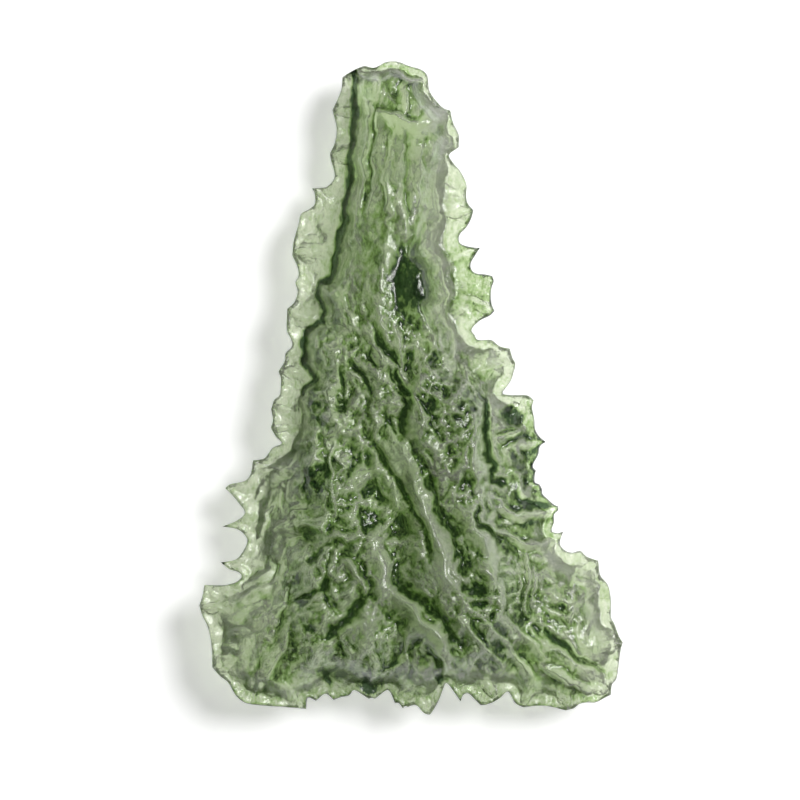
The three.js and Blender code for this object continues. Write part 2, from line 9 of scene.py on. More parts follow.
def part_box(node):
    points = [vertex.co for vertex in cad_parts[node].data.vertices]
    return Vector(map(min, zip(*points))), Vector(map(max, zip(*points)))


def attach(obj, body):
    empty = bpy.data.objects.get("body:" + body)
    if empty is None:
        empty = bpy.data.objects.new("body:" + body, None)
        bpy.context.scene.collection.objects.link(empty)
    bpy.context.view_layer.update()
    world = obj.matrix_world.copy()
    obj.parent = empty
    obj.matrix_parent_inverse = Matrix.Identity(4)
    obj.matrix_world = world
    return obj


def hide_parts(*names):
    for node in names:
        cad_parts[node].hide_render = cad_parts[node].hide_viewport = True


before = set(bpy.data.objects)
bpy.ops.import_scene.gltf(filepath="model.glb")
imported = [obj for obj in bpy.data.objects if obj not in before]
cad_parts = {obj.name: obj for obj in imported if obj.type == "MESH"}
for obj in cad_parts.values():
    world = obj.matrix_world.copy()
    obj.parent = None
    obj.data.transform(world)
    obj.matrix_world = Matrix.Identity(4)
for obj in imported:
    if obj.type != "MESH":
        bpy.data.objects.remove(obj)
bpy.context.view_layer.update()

# All sizes of the stone are in millimetres. +Y runs to its narrow end and +Z is up.
MM = 0.001

# Rim: height of its line, radius of its rounded edge, and its slow waves as rise, turn per mm and phase
RIM_HEIGHT = 3.0
RIM_RADIUS = 0.1
RIM_WAVE_ALONG = (0.3, 0.33, 0.9)
RIM_WAVE_ACROSS = (0.25, 0.45, 0.4)

# Front behind the rim: rise and foot of the flange, and how far in the skin and the body are at full height
FLANGE_RISE = 0.4
FLANGE_FOOT = 0.4
SKIN_START = 0.35
BODY_START = 1.2

# Back behind the rim: its first drop and the belly's, with the reach of each
BACK_DROP = 0.7
BACK_FOOT = 1.1
BELLY_DROP = 1.3
BELLY_REACH = 5.0

# Least distance from the back up to the front
LEAST_THICKNESS = 0.6

# Ribs behind the teeth: they are lower where the teeth stand closer than the span, and on the back
TOOTH_RISE = 0.3
TOOTH_REACH = 0.8
TOOTH_SPAN = 2.0
TOOTH_SHARPNESS = 1.6
BACK_TOOTH_SHARE = 0.7

# Flutes, which are small scoops side by side along the rim, with an uneven pitch
FLUTE_PITCH = 0.8
FLUTE_DEPTH = 0.16
FLUTE_REACH = 0.55
FLUTE_STRAY = 1.7
FLUTE_STRAY_TURN = 0.9
FRONT_FLUTE_PHASE = 0.3
BACK_FLUTE_PHASE = 1.9

# Height of the raised ground up to which the glass is thin, and from which it is thick
THIN_BELOW = 0.6
THICK_ABOVE = 2.2

# Narrow end, above a line across the stone and blended into the body below it
NECK_BELOW = 8.0
NECK_BLEND = 8.0

# The steps of the raised parts are softer below a line, and in part to the right of another
SOFT_BELOW = -2.0
SOFT_BLEND = 8.0
RIGHT_FROM = -1.0
RIGHT_BLEND = 2.0
RIGHT_SOFTNESS = 0.45

# Flow of the glass: its fan, and how far it strays in the narrow end and below it
FAN_SPREAD = 0.09
FAN_MIDDLE = -0.5
FAN_BELOW = 6.0
FAN_BLEND = 14.0
DISORDER = (0.5, 2.4)

# Crests: power of their sides, share of the height at both ends and the run from there to all of it
CREST_POWER = 1.5
CREST_END_SHARE = 0.2
CREST_RUN_OUT = 1.2

# Pits: share of their listed depth, and power of their sides
PIT_SHARE = 0.6
PIT_POWER = 1.2

# Height that no relief passes
RELIEF_LIMIT = 0.8

# Flat spot that the stone rests on, and height above the floor that the back keeps outside it
REST_SPOT = (-0.5, -5.2)
REST_RADII = (2.2, 3.0)
REST_BLEND = 0.6
REST_CLEARANCE = 0.22

# Share of the skin's roughness on thin glass, in the narrow end, on crests and under the spots of painted
# shade
THIN_SKIN = 0.15
NECK_SKIN = 0.25
CREST_SKIN = 0.4
SHADE_SPOT_SKIN = 0.4

# Share of it on the back's rim, and the distance from the rim where it starts to grow, with its run
BACK_RIM_SKIN = 0.1
BACK_SKIN_FROM = 1.4
BACK_SKIN_BLEND = 2.6

# Etched hollows, from the large ones to the finest: spacing, depth, stretch, seed
FRONT_HOLLOWS = [(2.4, 0.5, 1.6, 3), (1.15, 0.15, 1.6, 21), (0.52, 0.09, 1.2, 31)]
BACK_HOLLOWS = [(2.3, 0.6, 1.9, 11), (1.1, 0.25, 2.0, 41)]

# Their rows, stray and growth behind the rim in spacings, the rows and columns that one hollow can reach,
# the cap on their crests and their middle level
HOLLOW_ROW = 0.87
HOLLOW_STRAY = 0.8
HOLLOW_GROWTH = 1.1
HOLLOW_NEIGHBOURS = 3
HOLLOW_CAP = 1.6
HOLLOW_LEVEL = 0.5

# Flow wrinkles: spacing, length, height, width of the steep side and of the gentle side, seed
FRONT_WRINKLES = [(1.5, 2.2, 0.27, 0.09, 0.8, 5), (0.7, 1.0, 0.15, 0.08, 0.4, 17)]
BACK_WRINKLES = [(1.4, 3.0, 0.4, 0.18, 0.8, 57)]

# Their straight parts, greatest bend from one part to the next, least size and share that is raised
WRINKLE_PARTS = 4
WRINKLE_BEND = 0.45
WRINKLE_LEAST = 0.5
WRINKLE_RAISED = 0.6

# What turns two whole numbers and a seed into a scattered number
SCATTER_TURNS = (127.1, 311.7, 74.7)
SCATTER_SPREAD = 43758.5453

# Waviness that makes every drawn line a little ragged: pitch, reach, noise layers for X and Y
RAGGED = [(1.3, 0.3, 10.3, 20.7), (0.5, 0.12, 11.3, 21.7)]

# Grain of the surface: pitch, height, noise layer
GRAIN = [(0.62, 0.05, 3.1), (0.36, 0.03, 3.1)]

# Parts of the smooth curve between two listed points of the rim
CURVE_PARTS = 12

# Mesh: spacing on the rim, the front and the back, and in spacings the rows and the gap behind the rim
RIM_STEP = 0.12
FRONT_STEP = 0.112
BACK_STEP = 0.17
MESH_ROW = 0.866
MESH_GAP = 0.55
MERGE_WITHIN = 1e-6

# Glass
GLASS_IOR = 1.49
ROUGHNESS = 0.22
TRANSMISSION = 0.78
ABSORPTION_COLOUR = (0.475, 0.61, 0.25, 1.0)
ABSORPTION_DENSITY = 260.0

# Colours along the painted shade of the glass, with the place of the middle one: near black for painted
# shade on steep walls, green for painted shade in grooves, pale for crests and thin glass painted paler
PAINTED_WALL_SHADE = (0.02, 0.045, 0.018, 1.0)
PAINTED_GROOVE_SHADE = (0.38, 0.57, 0.2, 1.0)
CREST_COLOUR = (0.94, 0.99, 0.82, 1.0)
GROOVE_PLACE = 0.45

# Fine streaks of shade, stretched along Y
MOTTLE = 0.45
MOTTLE_RANGE = (0.3, 0.7)
MOTTLE_SCALE = 4200.0
MOTTLE_STREAK = 0.5
MOTTLE_DETAIL = 4.0
MOTTLE_ROUGHNESS = 0.75

# Frost of the skin
BUMP_SCALE = 4500.0
BUMP_DETAIL = 3.0
BUMP_HEIGHT = 0.06
BUMP_STRENGTH = 0.6

# Painted shade in the glass's colour, from 0 (dark) to 1 (pale): share of it kept in hollows and on steep
# faces, which are painted darker
HOLLOW_SHADE = 0.32
HOLLOW_RANGE = (-0.3, 0.15)
STEEP_SHADE = 0.5
STEEP_BELOW = 0.6

# What small relief adds to the painted shade, painting small dips darker and small crests paler, and rounds
# of smoothing that set off broad and small relief
FINE_SHADE = 7.0
FINE_RANGE = (-0.3, 0.25)
BROAD_ROUNDS = 40
FINE_ROUNDS = 5

# What thin glass and broad crests add to the shade as painted light, and what the painted dark line along
# the rim takes from it
THIN_SHADE = 0.42
CREST_SHADE = 0.25
BROAD_CREST = 0.8
RIM_SHADE = 0.6
RIM_LINE = 0.2

# The dark line of painted shade at the foot of the body's left wall: what it takes from the shade, points of
# the outline, distance and half width
WALL_SHADE = 1.7
WALL_POINTS = 31
WALL_FOOT = 0.35
WALL_REACH = 0.42

# Camera: the photograph's frame is 50 mm wide at the stone, with the stone a little off its middle
FRAME_WIDTH = 50.0
FRAME_CENTRE = (-0.69, -0.75)
FRAME_HEIGHT_ABOVE = 4.0
CAMERA_DISTANCE = 380.0

# Dome: its grey, the sines of the elevations where it starts to brighten and ends, and its light there
DOME_COLOUR = (0.05, 0.05, 0.05, 1.0)
DOME_START = 0.1
DOME_FULL = 0.6
HORIZON_LIGHT = 0.2
DOME_LIGHT = 0.52

# Softbox: its place and size in metres, and its power
KEY_PLACE = (0.28, 0.15, 0.42)
KEY_SIZE = 0.24
KEY_WATTS = 2.6

# Floor, in metres, just below the stone
FLOOR_REACH = 1.5
FLOOR_DROP = 0.00002
FLOOR_COLOUR = (0.93, 0.93, 0.93, 1.0)
FLOOR_ROUGHNESS = 0.9
FLOOR_GLOSS = 0.1
FLOOR_GLOW = 0.52

# The rim as scallops: each list starts at the tip of a tooth and curves on to the next
SCALLOPS = [
    [(-4.35, 19.45), (-3.9, 19.75), (-3, 20.15), (-2.35, 20.05), (-1.6, 20.4), (-0.9, 20.42),
     (-0.1, 20.12), (0.5, 19.95), (0.95, 19.6), (1.12, 18.6), (1.5, 18), (2, 17.5)],
    [(2.42, 17.35), (2.6, 16.6), (2.95, 15.85)],
    [(2.95, 15.05), (2.35, 14.55), (2.6, 14.1), (3.1, 13.5), (3.45, 12.7), (3.42, 12.1), (3.5, 11.6)],
    [(3.88, 11.1), (3.7, 10.5), (3.4, 10), (3, 9.55), (3, 9.1), (3.2, 8.95), (3.8, 8.8)],
    [(4.28, 8.75), (4, 8.3), (3.7, 7.75), (3.75, 7.4), (4, 7.18), (4.6, 7.1)],
    [(5.05, 7), (5.15, 6.7), (5, 6.2), (5.02, 5.2)],
    [(5.2, 4.8), (4.9, 4.5), (4.3, 4.2), (3.75, 3.6), (3.95, 3.3), (4.1, 3.02), (5, 2.98), (5.5, 2.6)],
    [(6.15, 2.45), (6.3, 1.9), (6.5, 1.5), (6.4, 1), (6.25, 0.5), (6, 0.1), (5.7, -0.35), (6.2, -0.45),
     (7.3, -0.5)],
    [(7.65, -0.8), (7.55, -1.2), (7.7, -2), (7.75, -2.6), (8, -3.05)],
    [(8.4, -3.4), (8.05, -3.7), (7.95, -4.2), (7.6, -4.95)],
    [(7.8, -5.2), (7.72, -5.6), (7.75, -5.95), (8, -6.05)],
    [(8.2, -6.4), (8.2, -6.65), (8.5, -6.95), (8.95, -7.35)],
    [(9.2, -7.45), (9.2, -7.7), (8.95, -7.95), (8.95, -8.4), (8.8, -9), (9.1, -9.12)],
    [(9.5, -9.05), (9.3, -9.75), (9.4, -10), (9.7, -10.25), (10.1, -10.35), (10.55, -10.22), (11, -10.6)],
    [(11.7, -10.85), (11.85, -11.8), (12.3, -12.35), (12.5, -13.4), (12.5, -14.4), (12.7, -14.8),
     (13, -15.6)],
    [(13.22, -15.95), (13.1, -16.4), (13, -17.1), (12.8, -18.3), (12.55, -18.6)],
    [(12.48, -19.25), (12, -19.5), (11.5, -19.75), (11, -19.75), (10.5, -19.85), (10.2, -20.1)],
    [(9.65, -20.25), (8.6, -20), (7.9, -19.95)],
    [(7, -20.05), (6.5, -19.8), (6, -19.05), (5.6, -19.4)],
    [(5.1, -19.72), (4.6, -19.88)],
    [(4.3, -19.9), (4, -19.6), (3.5, -19.15), (3.25, -19.25)],
    [(3.05, -19.65), (2.8, -19.3), (2.15, -18.5), (2, -18.8), (1.7, -19.6), (1.3, -20.3)],
    [(1.15, -20.5), (0.8, -20.42), (0.3, -19.92), (0.1, -19.9)],
    [(-0.25, -20.02), (-0.4, -19.95)],
    [(-0.55, -20.12), (-0.85, -19.75)],
    [(-1.05, -19.8), (-1.35, -19.1), (-1.5, -18.95), (-1.9, -19.2)],
    [(-2.3, -19.52), (-2.5, -19.45)],
    [(-2.7, -19.52), (-3.1, -19.25), (-3.65, -18.97), (-3.8, -19.2)],
    [(-4, -19.35), (-4.35, -19.4)],
    [(-4.9, -19.6), (-5.2, -19.3), (-5.4, -19.2)],
    [(-6, -19.65), (-6.25, -19.5), (-6.5, -19.45)],
    [(-6.6, -20.15), (-8.3, -20), (-9.6, -19.9), (-10.4, -19.75), (-10.95, -19.35), (-11.5, -18.45),
     (-12, -18.05)],
    [(-12.48, -17.5), (-12.5, -16.5), (-12.6, -15.7), (-12.8, -14.9), (-13.1, -14.3)],
    [(-13.3, -13.65), (-13.1, -13)],
    [(-13, -12.35), (-11.6, -12.35), (-10.9, -12.1), (-10.65, -11.8), (-10.9, -11.55), (-11.4, -11.4)],
    [(-11.95, -10.95), (-11, -10.75), (-10.6, -10.3), (-10.3, -9.6), (-10.5, -9.2), (-10.9, -8.9)],
    [(-11.85, -8.7), (-11, -8.35), (-10.5, -7.95), (-10.5, -7.7), (-10.8, -7.3), (-11.2, -6.8)],
    [(-11.7, -6.3), (-11.4, -6.05), (-10.9, -5.95), (-10.4, -5.8), (-10.1, -5.4)],
    [(-9.95, -4.55), (-9.5, -4.5), (-9.2, -4.4), (-8.7, -3.75), (-8.15, -3.5), (-8.5, -3.1)],
    [(-8.85, -2.5), (-8.7, -2.1)],
    [(-8.8, -1.35), (-8.6, -0.75), (-8.3, -0.5), (-8.2, 0.1), (-8.2, 0.6)],
    [(-8.35, 1), (-7.95, 1.7), (-7.9, 2.15), (-7.5, 2.6), (-7.55, 3), (-7.8, 3.5)],
    [(-7.8, 4.95), (-7.4, 5.3), (-7.15, 6), (-7.3, 6.6), (-7.1, 7), (-7.15, 7.5)],
    [(-7.5, 8.3), (-7.4, 9.2), (-7.1, 10.3), (-6.95, 10.9), (-6.45, 11.2), (-6.1, 11.5), (-6.1, 12.2)],
    [(-6.25, 12.5), (-5.8, 12.55), (-5.35, 12.6), (-4.85, 13.2), (-5.05, 14.2)],
    [(-5.15, 14.65), (-4.85, 15.3), (-4.72, 16.3), (-4.85, 16.9)],
    [(-4.98, 17.4), (-4.6, 18.2), (-4.4, 18.8)],
]

# Outline of the thick body, with a serrated step on its left and a scalloped one on its right
BODY = [
    (-3.4, 19.4), (-3.2, 18.6), (-3.2, 17.5), (-3.25, 16), (-3.3, 15), (-3.55, 14), (-3.65, 12.5),
    (-3.75, 11.4), (-3.95, 10.6), (-4.0, 9.6), (-4.1, 9), (-4.2, 8.4), (-4.5, 7.7), (-4.65, 7.2),
    (-5.0, 6.5), (-5.4, 6.3), (-5.5, 6.1), (-5.4, 5.3), (-5.2, 4.7), (-5.3, 4.35), (-5.15, 4),
    (-5.7, 3.5), (-6.2, 3.1), (-6.45, 2.8), (-6.35, 2.3), (-6.3, 1.5), (-5.9, 1.1), (-5.5, 0.6),
    (-5.7, 0.2), (-6.2, -0.1), (-6.4, -0.3), (-6.25, -0.65), (-6.6, -1), (-6.5, -1.5), (-6.5, -2.2),
    (-6.6, -2.8), (-7, -3.5), (-6.2, -3.7), (-6.7, -4.3), (-7, -5), (-7, -6), (-6.5, -7),
    (-5.8, -7.5), (-6.6, -8.3), (-6.7, -8.9), (-6.3, -9.9), (-7, -10.8), (-7.5, -13), (-7.4, -15.2),
    (-6.6, -17), (-5, -17.4), (-2.6, -18.3), (0, -18.4), (1.7, -18.4), (3.2, -17.3), (5.4, -17),
    (6.4, -14), (5.8, -11), (5.2, -8.6), (4.8, -6.8), (5.2, -5), (4.7, -3), (4.3, -0.4), (3.4, 0.3),
    (2.4, 0.4), (1.9, 1.4), (2.05, 2.8), (1.9, 3.3), (1.5, 3.9), (1.4, 4.5), (1.3, 5.2), (1.5, 5.8),
    (1.3, 6.5), (1.35, 7.5), (0.9, 7.8), (0.65, 8.1), (0.65, 8.7), (0.8, 9.3), (1.2, 10.1),
    (1.2, 11.6), (1.4, 12.5), (1.6, 13.4), (2.2, 14.4), (2.2, 15.8), (1.9, 16.9), (1.1, 17.8),
    (0.6, 19.4), (-1, 19.8),
]

# Outline of the lower right lobe and the shoulder above it
RIGHT_LOBE = [
    (1.6, 4), (3.3, 2.9), (5, 2.3), (5.7, 1), (5.2, -0.4), (6.8, -1.2), (7, -2.6), (6.9, -4.8),
    (7.4, -6.6), (8.2, -8.2), (8.4, -10), (10, -11.2), (11.2, -12.4), (11.7, -15), (12, -17.4),
    (11, -18.9), (7.4, -19.1), (4.6, -18.4), (1, -18.8), (-1, -16), (0, -8), (0, 0),
]

# Outline of the lower left lobe
LEFT_LOBE = [
    (-6, -3), (-7.9, -4.3), (-9, -6.3), (-9.2, -9), (-9.3, -11.4), (-11.8, -13.3), (-11.6, -16),
    (-10.6, -18.2), (-8.6, -19.2), (-6.8, -19.1), (-5, -18.6), (-2, -18.4), (-1, -16), (-2, -8),
]

# Raised parts of the front: step, crown and its reach, width of the step where it is steep and soft, outline
PLATEAUS = [
    (2.1, 1.8, 4.0, 1.1, 2.6, BODY),
    (0.8, 1.1, 3.0, 1.0, 2.2, RIGHT_LOBE),
    (0.7, 1.0, 3.0, 0.9, 2.2, LEFT_LOBE),
]

# Crests, and grooves where the height is below zero: height, width on the path's left and right, path
CRESTS = [
    # long middle ridge, the line on its left and the rough valley on its right
    (1.1, 0.7, 1.4, [(-0.9, -3.4), (-0.6, -4), (0, -5.5), (0.5, -6.8), (1.1, -8.2), (1.6, -9.5), (2, -11),
                     (2.6, -12.2), (3, -12.8)]),
    (-0.8, 0.3, 0.45, [(-2.3, -3.4), (-1.8, -4.3), (-1.3, -5.2), (-0.9, -5.9), (-0.4, -6.7), (0.1, -7.3),
                       (0.6, -8), (0.9, -9), (1.1, -10), (1.2, -10.7)]),
    (-0.9, 1.1, 0.5, [(0.9, -5.4), (1.3, -6.3), (1.9, -7.6), (2.5, -9), (2.9, -10.5), (3.5, -12.2)]),
    # lower ridge, which starts beside the first one
    (1.2, 0.5, 1.3, [(-1.9, -9.5), (-1.7, -11), (-1.6, -12.2), (-1, -12.9), (-0.3, -13.5), (0.5, -14.4),
                     (1.3, -15.1), (1.9, -15.9), (2.2, -16.6)]),
    (-0.9, 0.7, 0.35, [(-1, -11.8), (-0.4, -12.5), (0, -13), (0.8, -13.4), (1.5, -13.9), (2.1, -14.7),
                       (2.7, -16.1)]),
    (-1.3, 0.7, 0.7, [(-2.9, -12.2), (-3.2, -13.3), (-4, -14.2), (-5, -15.2), (-5.8, -15.9)]),
    (0.8, 0.5, 0.8, [(3.9, -8.5), (4.5, -9.5), (5.2, -10.2), (5.9, -10.6)]),
    # folded groove in the middle of the body, and its ledges
    (-1.1, 0.7, 0.25, [(-2.5, 3.4), (-2.3, 2.9), (-1.9, 2.4), (-1.6, 2), (-1.1, 1.8), (-0.9, 1.5)]),
    (-1.1, 0.3, 0.75, [(-0.9, 1.5), (-1, 1), (-0.7, 0.5), (-0.4, 0), (-0.1, -0.4), (0.3, -0.65)]),
    (-0.9, 0.5, 0.5, [(-0.5, -0.4), (-0.4, -1), (-0.5, -2), (-0.5, -3.2)]),
    (-0.6, 0.2, 0.5, [(-3.9, 1.95), (-3.4, 1.4), (-3.1, 1), (-2.8, 0.5), (-2.6, -0.1)]),
    (-0.5, 0.3, 0.3, [(-2.7, 2), (-2.4, 1.4), (-2.1, 0.9)]),
    (-0.5, 0.25, 0.25, [(-4.7, -0.2), (-4.6, -0.7), (-4.2, -0.85), (-3.85, -0.6), (-3.8, -0.1)]),
    (-0.5, 0.2, 0.5, [(-5, -1.05), (-4.4, -1.2), (-3.7, -1.45)]),
    (0.5, 0.8, 0.2, [(-5.9, -1.9), (-5, -2.2), (-4.2, -2.3)]),
    (0.4, 0.7, 0.2, [(-2.4, -1.2), (-2.1, -2.4), (-2.6, -3.4)]),
    (-0.5, 0.2, 0.5, [(-1.6, -1.6), (-1.3, -2.4), (-0.9, -3)]),
    # deep crevice at the right, the pale strip beside it and the ribs beyond it
    (-1.9, 0.4, 0.35, [(4.2, -0.35), (4.45, -0.7), (4.6, -1.4), (4.7, -2.1), (4.7, -2.9), (4.8, -3.6),
                       (4.7, -4.2), (4.9, -4.6), (5.15, -5), (5.1, -5.6), (5.3, -5.9), (5.7, -5.8)]),
    (0.5, 0.7, 0.15, [(3.7, -2.8), (3.6, -3.5), (3.8, -4.1), (3.75, -5), (3.95, -5.8), (4, -6.8)]),
    (0.4, 0.8, 0.2, [(2.2, -6.8), (2.7, -6.8), (3, -6.95), (3.3, -6.8), (3.9, -6.9)]),
    (-0.8, 0.25, 0.4, [(4.2, -7), (4.1, -7.9), (4.3, -8.5), (4.7, -8.6), (5.2, -9.1), (5.7, -9.3)]),
    (-0.7, 0.2, 0.2, [(4.6, -7.1), (4.85, -7.9)]),
    (0.6, 0.25, 0.5, [(5.3, -3.3), (6, -3), (6.8, -2.6)]),
    (0.7, 0.25, 0.5, [(6.1, -3.7), (7, -3.4), (8.2, -3.35)]),
    (0.4, 0.3, 0.3, [(6, -3.8), (6.2, -4.8)]),
    (0.4, 0.3, 0.3, [(6.6, -3.6), (7, -4.2)]),
    (0.9, 0.3, 0.6, [(5.3, -7), (5.6, -7.5), (6.6, -7.9), (7.5, -7.85), (8.4, -7.75), (9.1, -7.5)]),
    (-0.5, 0.3, 0.3, [(6.6, -7), (7.5, -7.35), (8.8, -7.2)]),
    (0.8, 0.3, 0.5, [(5.2, -8), (5.2, -8.8), (5.8, -8.9), (6.4, -9.4), (7, -9.75), (8, -9.85), (8.7, -9.6),
                     (9.1, -9.75)]),
    (0.5, 0.4, 0.4, [(6.6, -5.4), (7.1, -6.8), (7.7, -6.1), (8.15, -6.5)]),
    # grooves and the chipped bowl of the narrow end
    (-0.3, 0.2, 0.5, [(-2.2, 17.2), (-2.4, 16.2), (-2.3, 15.3), (-2.5, 14), (-2.6, 12.5), (-2.8, 10.8)]),
    (-0.25, 0.2, 0.4, [(-2.9, 13), (-3, 11)]),
    (-0.2, 0.5, 0.2, [(-0.3, 15.6), (-0.5, 14), (-0.3, 12), (-0.4, 10)]),
    (0.2, 0.2, 0.6, [(0.9, 15.9), (0.6, 14.4), (0.7, 13), (0.4, 11.6)]),
    (0.2, 0.5, 0.2, [(-1.5, 15.9), (-1.4, 14.2), (-1.7, 12.6), (-1.5, 11)]),
    (0.6, 0.3, 1.3, [(-2.2, 17.3), (-1.9, 17), (-1.3, 16.9), (-0.9, 16.95), (-0.6, 16.7), (-0.3, 16.4),
                     (0.2, 16.3), (0.6, 16.4), (0.9, 16.7), (1.3, 17.2)]),
    (0.4, 0.2, 0.5, [(-0.3, 18.9), (-0.5, 17.5), (-0.6, 16.9)]),
    (0.6, 0.6, 0.25, [(-2.5, 17.9), (-2.2, 18.8), (-2, 19.9)]),
    (0.6, 0.3, 0.3, [(-1.9, 19.9), (-0.8, 19.7), (0.1, 19.2), (0.85, 19.3)]),
    # right flange
    (0.3, 0.15, 0.4, [(1.3, 10.3), (0.9, 10.2), (0.5, 9.6), (0.2, 9)]),
    (0.35, 0.3, 0.3, [(5.2, 4.8), (4.3, 5.5), (3.4, 5.9)]),
    (0.3, 0.3, 0.3, [(4.3, 8.75), (3.4, 8.4), (2.6, 8.1)]),
    # left side of the body
    (0.8, 0.14, 0.14, [(-4.87, -3.5), (-4.87, -5.6), (-4.9, -8)]),
    (0.8, 0.3, 0.7, [(-4, -6.5), (-3.3, -6), (-2.6, -5.3)]),
    (0.6, 0.6, 0.2, [(-5.2, -10), (-4.9, -9.4), (-4.6, -9.15), (-4.2, -9.25), (-4, -9.5), (-3.6, -9.3),
                     (-3.3, -8.8)]),
    (0.8, 0.3, 0.8, [(-4.6, -11.5), (-4.3, -10.9), (-4, -10.8), (-3.5, -11.2), (-3, -12), (-2.9, -12.8)]),
    (-0.6, 0.4, 0.4, [(-4.8, -9.6), (-5.9, -10.4), (-7, -11)]),
    (0.5, 0.2, 0.6, [(-6.9, -8.5), (-6.3, -8.5), (-5.6, -8.3)]),
    (-0.8, 0.3, 0.5, [(-7.3, -13.2), (-6.5, -13), (-5.8, -12.5), (-5, -11.5)]),
    # lower left lobe
    (1, 0.25, 0.7, [(-7.6, -15.1), (-8, -16), (-9.3, -18.2), (-9.6, -18.7)]),
    (0.5, 0.25, 0.25, [(-8.3, -16), (-9.3, -17.5)]),
    (0.4, 0.25, 0.25, [(-7.1, -16.1), (-6.9, -17), (-6.85, -17.8)]),
    (0.5, 0.25, 0.5, [(-11.5, -12.6), (-10, -12.1), (-8.9, -11.6), (-8.5, -11.4)]),
    (0.4, 0.25, 0.3, [(-11, -13), (-9.2, -12.6), (-8.6, -12.2)]),
    (-0.5, 0.25, 0.4, [(-8.8, -10.7), (-8.45, -11.1), (-8.6, -11.8), (-8.75, -12.1)]),
    (0.5, 0.3, 0.3, [(-9.5, -5.2), (-8.6, -5.1), (-7.8, -5.4)]),
    (0.5, 0.3, 0.3, [(-10.4, -7.3), (-9.8, -6.9), (-9.3, -6.1)]),
    (0.5, 0.25, 0.4, [(-8.6, -7.2), (-9.2, -7.9), (-9.1, -8.5), (-9.2, -9), (-9.6, -9.5), (-10.2, -10)]),
    (0.5, 0.3, 0.3, [(-11.6, -15.3), (-10.9, -15.2), (-10.4, -15.4)]),
    (0.5, 0.3, 0.3, [(-11.9, -16.3), (-11.2, -16.2), (-10.7, -16.4)]),
    # lower right lobe
    (0.6, 0.16, 0.2, [(6.55, -11.1), (6.55, -13.3)]),
    (0.7, 0.2, 0.16, [(7.1, -10.2), (7.15, -12.4), (7.1, -14.2)]),
    (0.4, 0.3, 0.15, [(7.5, -10.8), (7.6, -13.6)]),
    (-0.8, 0.3, 0.6, [(8, -15), (9, -15.7), (9.8, -16.1), (10.4, -16.8), (11, -17), (11.6, -17.2),
                      (12.3, -17.9)]),
    (0.7, 0.5, 0.3, [(8.4, -17.4), (9.2, -17.9), (9.8, -18.5), (10.8, -19), (11.8, -19.2)]),
    (0.4, 0.3, 0.3, [(10, -12.1), (11, -12.25), (11.9, -12.3)]),
    (0.4, 0.25, 0.25, [(9.8, -14.8), (9.8, -14.5), (10, -14.2), (10.3, -14)]),
    (-0.5, 0.5, 0.2, [(3.5, -16.8), (4.2, -17.2), (4.4, -17.9)]),
    (0.6, 0.25, 0.6, [(4.3, -14.2), (5.6, -15.6), (7, -17.1), (7.6, -18.2)]),
    (0.6, 0.25, 0.6, [(5.9, -14), (7, -15.4), (8.4, -16.6)]),
    (0.5, 0.25, 0.5, [(3.3, -14.4), (4.2, -15.7), (5.6, -17.3)]),
    # lower edge
    (-0.9, 0.25, 0.5, [(1.2, -16), (1.5, -16.6), (1.75, -17.3), (1.8, -18.2)]),
    (-0.6, 0.4, 0.2, [(-0.2, -16), (-0.1, -17), (-0.05, -18.3)]),
    (-0.5, 0.3, 0.3, [(-5.6, -17.3), (-5.2, -18), (-5.3, -19)]),
    (-0.5, 0.3, 0.3, [(-3, -17.2), (-2.7, -18.2), (-2.6, -19.2)]),
]

# Basins and pits, and a lump where the depth is below zero: middle, half sizes, depth
PITS = [
    (0.9, 6.4, 1.9, 2.8, -0.9), (-6.1, -5.2, 1.25, 1.8, 0.7), (-6.3, -9.2, 0.8, 0.9, 1.0),
    (-2.6, -8.2, 0.9, 1.0, 0.8), (-0.9, -8.6, 1.0, 1.1, 0.8), (-2.3, -6.3, 0.8, 0.8, 0.6),
    (-2.9, -4.6, 0.7, 0.6, 0.7), (-1.8, -4.7, 0.5, 0.7, 0.5), (-6.7, -13.4, 0.75, 0.6, 0.9),
    (-6.3, -14.9, 0.35, 0.45, 0.5), (-6.7, -15.9, 0.35, 0.4, 0.5), (-7.9, -17.6, 1.1, 1.1, 0.6),
    (1.5, 1.7, 0.6, 0.65, 0.6), (1.2, -1.6, 0.75, 0.95, 0.9), (-0.3, 1.35, 0.3, 0.3, 0.35),
    (0.3, 1.2, 0.3, 0.3, 0.35), (6.3, -1.7, 1.0, 0.8, 0.8), (7.9, -11.1, 0.65, 0.6, 0.6),
    (8.4, -12.3, 0.5, 0.45, 0.5), (3.9, -12.6, 0.9, 0.6, 1.0), (4, -13.5, 0.6, 0.4, 0.6),
    (9.2, -13.8, 0.5, 0.3, 0.4), (5.05, -14.1, 0.25, 0.35, 0.5), (7, -14.4, 0.35, 0.25, 0.4),
    (-11.3, -13.6, 1.0, 0.8, 0.3), (-0.5, 18.4, 1.8, 1.4, 0.6), (1.9, 16, 0.4, 0.8, 0.25),
    (0.8, 15.3, 0.4, 0.4, 0.2), (-1.6, 15.2, 0.35, 0.35, 0.2), (-1.2, 12.3, 0.4, 0.5, 0.25),
    (-5, -18, 1.0, 0.9, 0.8), (-2.6, -18.6, 1.0, 0.8, 0.8), (5.1, -17.5, 0.5, 0.5, 0.6),
]
